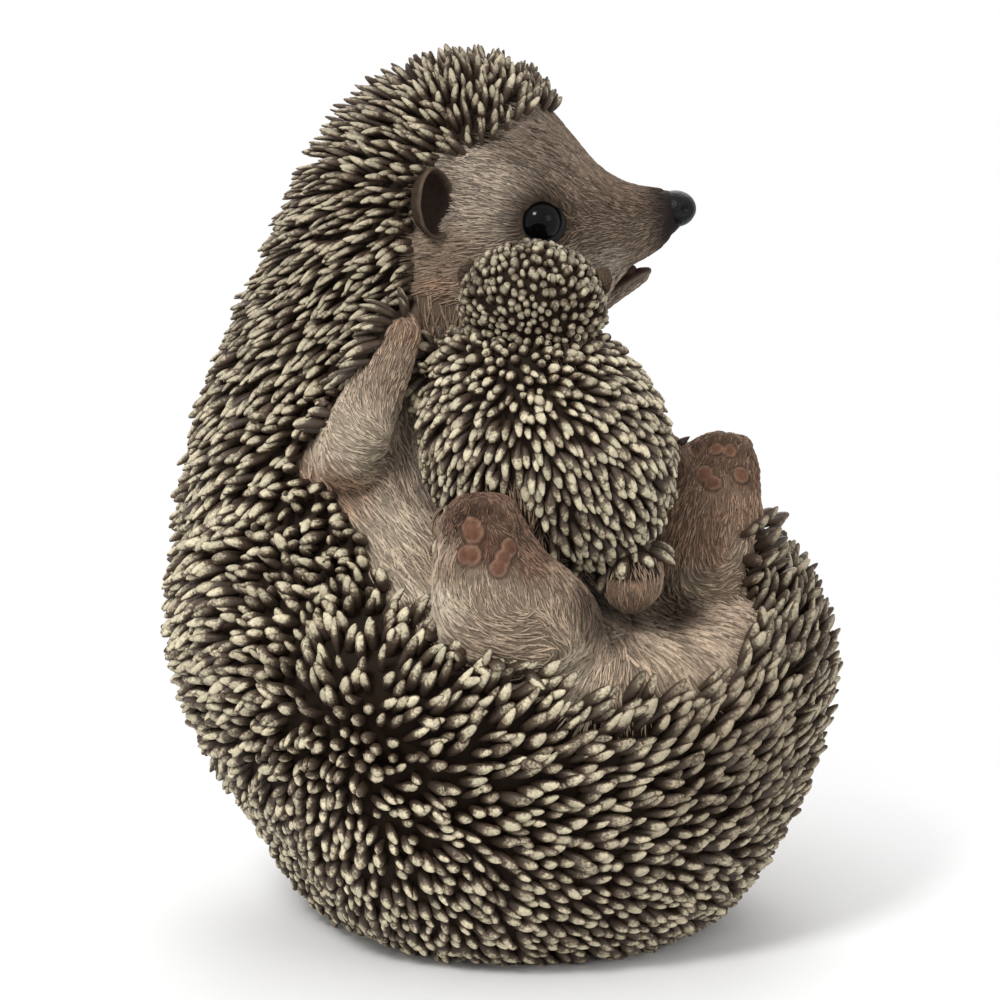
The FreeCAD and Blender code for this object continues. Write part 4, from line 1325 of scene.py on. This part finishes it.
def rounded(name, middle, radii, paint, material, rings, columns, marks=()):
    """Smooth ellipsoid with dents or bumps at marks of (direction, reach, height)."""
    ahead, faces = unit_ball(rings, columns)
    shaped = ahead * radii
    for direction, reach, height in marks:
        away = np.arccos(np.clip(ahead @ unit(np.array(direction, float)), -1, 1))
        shaped += ahead * (height * np.exp(-(away / reach) ** 2))[:, None]
    return mesh_object(name, shaped + middle, faces, paint, material)


def ring_walls(rings, columns):
    """Faces between each ring of corners and the next."""
    faces = []
    for ring in range(rings - 1):
        low, high = ring * columns, (ring + 1) * columns
        for column in range(columns):
            after = (column + 1) % columns
            faces.append((low + column, low + after, high + after, high + column))
    return faces


def torus(name, middle, ahead, radius, thick, paint, material):
    """Ring round a middle, facing ahead."""
    across = unit(np.cross((0, 0, 1.0), ahead))
    upright = np.cross(ahead, across)
    points = []
    faces = []
    for column in range(ROUND_COLUMNS):
        turn = 2 * math.pi * column / ROUND_COLUMNS
        out = across * math.cos(turn) + upright * math.sin(turn)
        for side in range(RIM_SIDES):
            bend = 2 * math.pi * side / RIM_SIDES
            points.append(middle + out * radius + (out * math.cos(bend) + ahead * math.sin(bend)) * thick)
            near, far = column * RIM_SIDES, (column + 1) % ROUND_COLUMNS * RIM_SIDES
            beside = (side + 1) % RIM_SIDES
            faces.append((near + side, far + side, far + beside, near + beside))
    return mesh_object(name, np.array(points), faces, paint, material)


# Eyes: glossy balls in dark rims
EYE_RADIUS = 5.4 * MM
EYE_LOOK = unit(np.array((0.14, -0.95, 0.26)))
EYE_RIM = 5.0 * MM
EYE_RIM_THICK = 1.05 * MM
EYE_RIM_LIFT = 1.6 * MM
SIDES = (("right", 1), ("left", -1))
for (side, flip), eye in zip(SIDES, EYES):
    ball = rounded("mother_eyeball_" + side, eye, EYE_RADIUS, PAINT["black"], gloss_material,
                   EYE_RINGS, ROUND_COLUMNS)
    finish_piece(ball, "eye", "mother_eye_" + side)
    look = EYE_LOOK * (1, flip, 1)
    rim = torus("mother_eye_rim_" + side, eye + look * EYE_RIM_LIFT, look, EYE_RIM, EYE_RIM_THICK,
                PAINT["black"], nose_material)
    finish_piece(rim, "eye")

# Nose: a rounded black pad; its marks are a direction, a reach, and a height in millimetres
NOSE_MIDDLE = np.array((40.1, HEAD_MIDDLE, 165.0)) * MM
NOSE_RADII = np.array((4.8, 4.3, 4.2)) * MM
NOSTRIL_MARKS = (((0.46, -0.86, 0.10), 0.50, 0.55), ((0.46, -0.86, 0.10), 0.27, -1.7),
                 ((0.16, -0.98, -0.10), 0.16, -0.5))
NOSE_CLEFT = ((1, 0, -0.5), 0.12, -0.3)
nose_marks = [((x, y * flip, z), reach, height)
              for _, flip in SIDES for (x, y, z), reach, height in NOSTRIL_MARKS]
nose_marks = [(way, reach, height * MM) for way, reach, height in nose_marks + [NOSE_CLEFT]]
nose = rounded("mother_nose_pad", NOSE_MIDDLE, NOSE_RADII, PAINT["black"], nose_material,
               NOSE_RINGS, NOSE_COLUMNS, nose_marks)
finish_piece(nose, "nose", "mother_nose")

# Ears: cups with a thin light rim and a dark hollow; each ring is a girth and a lift
EAR_PROFILE = np.array((
    (0.05, -1.00), (0.45, -0.88), (0.78, -0.55), (0.96, -0.12), (1.00, 0.06), (0.97, 0.14), (0.90, 0.08),
    (0.82, -0.14), (0.66, -0.42), (0.40, -0.62), (0.05, -0.70),
))
EAR_BACK_RINGS = 4
EAR_RIM_RINGS = 2
EAR_EDGE_SHADE = 0.7
EAR_POINT = 0.10
EAR_POINT_POWER = 3
EAR_RIPPLE = 0.02
EAR_RIPPLES = 9
EAR_OUT = np.array((0.78, -0.62, 0.06))
EAR_UP = np.array((-0.22, 0.0, 1.0))
EAR_HALF_WIDTH = 6.2 * MM
EAR_HALF_HEIGHT = 7.9 * MM
EAR_DEPTH = 5.6 * MM
# Paints of the rings: the back, the rim, its inner edge, and the hollow; the darker inner edge and the
# near-black hollow are dark paint with painted shade
EAR_PAINTS = [PAINT["root"]] * EAR_BACK_RINGS + [PAINT["ear_rim"]] * EAR_RIM_RINGS
EAR_PAINTS += [PAINT["ear_rim"] * EAR_EDGE_SHADE]
EAR_PAINTS += [PAINT["ear_dark"]] * (len(EAR_PROFILE) - len(EAR_PAINTS))


def ear_cup(name, middle, outward, upward):
    out = unit(outward)
    up = unit(upward - out * np.dot(upward, out))
    across = np.cross(up, out)
    points = []
    for girth, lift in EAR_PROFILE:
        for column in range(ROUND_COLUMNS):
            turn = 2 * math.pi * column / ROUND_COLUMNS
            wide = girth * EAR_HALF_WIDTH * (1 + EAR_RIPPLE * math.sin(EAR_RIPPLES * turn))
            high = girth * EAR_HALF_HEIGHT * (1 + EAR_POINT * max(math.sin(turn), 0) ** EAR_POINT_POWER)
            points.append(middle + across * math.cos(turn) * wide + up * math.sin(turn) * high
                          + out * lift * EAR_DEPTH)
    faces = ring_walls(len(EAR_PROFILE), ROUND_COLUMNS)
    faces.append(tuple(reversed(range(ROUND_COLUMNS))))
    faces.append(tuple(range(len(points) - ROUND_COLUMNS, len(points))))
    paint = np.repeat(np.array(EAR_PAINTS), ROUND_COLUMNS, axis=0)
    return mesh_object(name, np.array(points), faces, paint, skin_material)


for (side, flip), middle in zip(SIDES, both_sides(EAR_MIDDLE)):
    ear = ear_cup("mother_ear_cup_" + side, middle, EAR_OUT * (1, flip, 1), EAR_UP)
    finish_piece(ear, "ear", "mother_ear_" + side)

# Claw on the far foot: root and tip in the photograph's pixels, then place along it and girth
CLAW_ROOT = (679, 444)
CLAW_TIP = (689, 437)
CLAW_RINGS = np.array(((0.0, 1.0), (0.35, 0.9), (0.7, 0.6), (1.0, 0.2)))
CLAW_GIRTH = 1.0 * MM
CLAW_SIDES = 8
claw_along, claw_swell = CLAW_RINGS.T
right, down = np.subtract(CLAW_TIP, CLAW_ROOT) * MM_PER_PIXEL * MM
stretch = right * RIGHTWARD - down * UPWARD
claw_path = (seen_place(mother_surface, *CLAW_ROOT) + claw_along[:, None] * stretch)[None]
claw_course = unit(np.gradient(claw_path, axis=1))
claw_across = unit(np.cross(claw_course, SIGHT))
claw_girth = (claw_swell * CLAW_GIRTH)[None]
claw_paint = np.broadcast_to((*PAINT["root"], 1.0), claw_path.shape[:2] + (CLAW_SIDES, 4))
claws = tubes("mother_claws", nose_material, CLAW_SIDES, claw_path, claw_across,
              np.cross(claw_course, claw_across), claw_girth, claw_girth, claw_paint)
finish_coat(claws, "nose")

# Lower jaw: x, z, half thickness and half width along its line, in millimetres
JAW_LINE = np.array((
    (17.0, 141.0, 3.2, 6.6), (23.0, 144.2, 2.5, 6.0), (26.4, 146.2, 2.1, 5.0),
    (29.9, 148.4, 1.9, 3.8), (32.4, 149.9, 1.5, 2.6), (33.8, 150.6, 0.9, 1.5),
))
JAW_STEPS = 30
JAW_ROUNDER = 1.2
JAW_SMOOTHING = 4
FINE_VOXEL = 0.35 * MM
# The jaw's skin under its hairs is painted darker too: painted shade between the hairs over dark paint
JAW_DARKER = 0.5
JAW_TOP = (0.2, 0.8)
JAW_TOP_SHARE = 0.9
JAW_HAIRS = 1200
JAW_HAIR_TOP = 0.45
JAW_FUR = (2.6 * MM, 0.46 * MM)
# How dark the sides of the jaw's hairs are: painted shade
JAW_FUR_DARK = 0.25
# Balls of the dark inside of the mouth, its dark paint also standing for the shade in the slit: middle and
# half sizes, in millimetres
INNER_MOUTH_BALLS = (
    ((22.0, HEAD_MIDDLE, 149.0), (4.0, 4.6, 3.0)), ((25.5, HEAD_MIDDLE, 150.0), (4.0, 4.0, 2.4)),
    ((28.6, HEAD_MIDDLE, 150.7), (3.0, 3.2, 1.8)),
)

jaw_at = np.linspace(JAW_LINE[0, 0], JAW_LINE[-1, 0], JAW_STEPS)
jaw_values = [np.interp(jaw_at, JAW_LINE[:, 0], column) for column in JAW_LINE.T[1:]]
jaw_balls = [((x, HEAD_MIDDLE, z), (thick * JAW_ROUNDER, wide, thick))
             for x, z, thick, wide in zip(jaw_at, *jaw_values)]
jaw_skin = skin_object("mother_jaw_skin", [], FINE_VOXEL, JAW_SMOOTHING, jaw_balls)
inner_mouth = skin_object("mother_inner_mouth", [], FINE_VOXEL, JAW_SMOOTHING, INNER_MOUTH_BALLS)
dress(inner_mouth, PAINT["mouth"], skin_material)
finish_piece(inner_mouth, "fur")
jaw_surface = Surface(jaw_skin)
# The top of the jaw, inside the mouth slit, gets the dark mouth colour: mouth paint and painted shade
# under the muzzle
jaw_top = smooth_step(jaw_surface.normals[:, 2], *JAW_TOP)[:, None] * JAW_TOP_SHARE
dress(jaw_skin, mixed(face_tones(jaw_surface.points) * JAW_DARKER, PAINT["mouth"], jaw_top), skin_material)
finish_piece(jaw_skin, "fur", "mother_jaw")
places, normals = jaw_surface.sample(JAW_HAIRS)
below = normals[:, 2] < JAW_HAIR_TOP
places, normals = places[below], normals[below]
jaw_fur = fur("jaw_fur", jaw_surface, places, normals, face_fur_flow, *JAW_FUR, face_tones(places),
              JAW_FUR_DARK)
finish_coat(jaw_fur, "fur")

# The young one's eyes, nose and ears
SMALL_SMOOTHING = 8
BABY_EAR_HAIRS = 500
BABY_EAR_FUR = (2.2 * MM, 0.42 * MM)
# How dark the sides of the ear hairs are: painted shade
BABY_EAR_FUR_DARK = 0.3
BABY_EAR_FUR_LIFT = 0.10 * MM
SMALL_PARTS = (
    ("baby_eye_right", "eye", gloss_material, "black"), ("baby_eye_left", "eye", gloss_material, "black"),
    ("baby_nose", "nose", nose_material, "black"),
    ("baby_ear_right", "ear", skin_material, "shaft"), ("baby_ear_left", "ear", skin_material, "shaft"),
)
for name, slot, material, tone in SMALL_PARTS:
    small_part = skin_object(name + "_skin", [cad_mesh(name)], FINE_VOXEL, SMALL_SMOOTHING)
    dress(small_part, PAINT[tone], material)
    finish_piece(small_part, slot, name)
    if slot == "ear":
        ear_surface = Surface(small_part)
        places, normals = ear_surface.sample(BABY_EAR_HAIRS)
        tones = np.repeat(PAINT["fur_dark"][None], BABY_EAR_HAIRS, axis=0)
        ear_fur = fur(name + "_fur", ear_surface, places, normals, face_fur_flow, *BABY_EAR_FUR, tones,
                      BABY_EAR_FUR_DARK, BABY_EAR_FUR_LIFT)
        finish_coat(ear_fur, "fur")


# Floor, which fades into the white behind it
FLOOR_REACH = 0.6
FLOOR_SIDES = 96
FLOOR_FADE = (0.08, 0.19)
FLOOR_WHITE = 0.93
FLOOR_ROUGHNESS = 0.9


def floor_material():
    material = bpy.data.materials.new("floor_white")
    nodes, links = node_tree(material)
    shader = nodes["Principled BSDF"]
    shader.inputs["Base Color"].default_value = (FLOOR_WHITE, FLOOR_WHITE, FLOOR_WHITE, 1)
    shader.inputs["Roughness"].default_value = FLOOR_ROUGHNESS
    reach = add_node(nodes, "VectorMath", operation="LENGTH")
    links.new(add_node(nodes, "TexCoord").outputs["Object"], reach.inputs[0])
    fade = map_range(nodes, links, reach.outputs["Value"], FLOOR_FADE, interpolation_type="SMOOTHSTEP")
    mix_shaders(nodes, links, fade, shader, add_node(nodes, "BsdfTransparent"), "Material Output")
    return material


bpy.ops.mesh.primitive_circle_add(vertices=FLOOR_SIDES, radius=FLOOR_REACH, fill_type="NGON",
                                  location=(0, 0, 0))
floor = bpy.context.object
floor.name = "floor"
floor.data.materials.append(floor_material())

# Lamps: name, place, aim, power and size
LAMPS = (
    ("key", (-0.45, -0.80, 1.00), (0, 0, 0.09), 9, 0.28),
    ("fill", (0.9, -0.8, 0.55), (0, 0, 0.09), 1.5, 0.5),
    ("back", (0.1, 0.9, 0.8), (0, 0, 0.1), 5, 0.8),
)
WORLD_STRENGTH = 0.75
SEEN_STRENGTH = 1.0


def placed(name, data, place, ahead):
    """A lamp or camera at a place, facing ahead."""
    thing = linked_object(name, data)
    thing.location = place
    thing.rotation_euler = Vector(ahead).to_track_quat("-Z", "Y").to_euler()
    return thing


for name, place, aim, power, size in LAMPS:
    lamp = bpy.data.lights.new(name, "AREA")
    lamp.energy = power
    lamp.size = size
    placed(name, lamp, place, Vector(aim) - Vector(place))

# World: soft white light, and full white where the camera or a glossy ray meets it
world = bpy.data.worlds.new("studio")
bpy.context.scene.world = world
nodes, links = node_tree(world)
background = nodes["Background"]
background.inputs["Color"].default_value = (1, 1, 1, 1)
background.inputs["Strength"].default_value = WORLD_STRENGTH
seen = add_node(nodes, "Background", {"Color": (1, 1, 1, 1), "Strength": SEEN_STRENGTH})
path = add_node(nodes, "LightPath")
either = add_node(nodes, "Math", operation="MAXIMUM")
links.new(path.outputs["Is Camera Ray"], either.inputs[0])
links.new(path.outputs["Is Glossy Ray"], either.inputs[1])
mix_shaders(nodes, links, either.outputs[0], background, seen, "World Output")

# Camera
lens = bpy.data.cameras.new("camera")
lens.lens = CAMERA_LENS
lens.sensor_width = SENSOR
bpy.context.scene.camera = placed("camera", lens, STATION, SIGHT)
bpy.context.scene.view_settings.view_transform = "Standard"
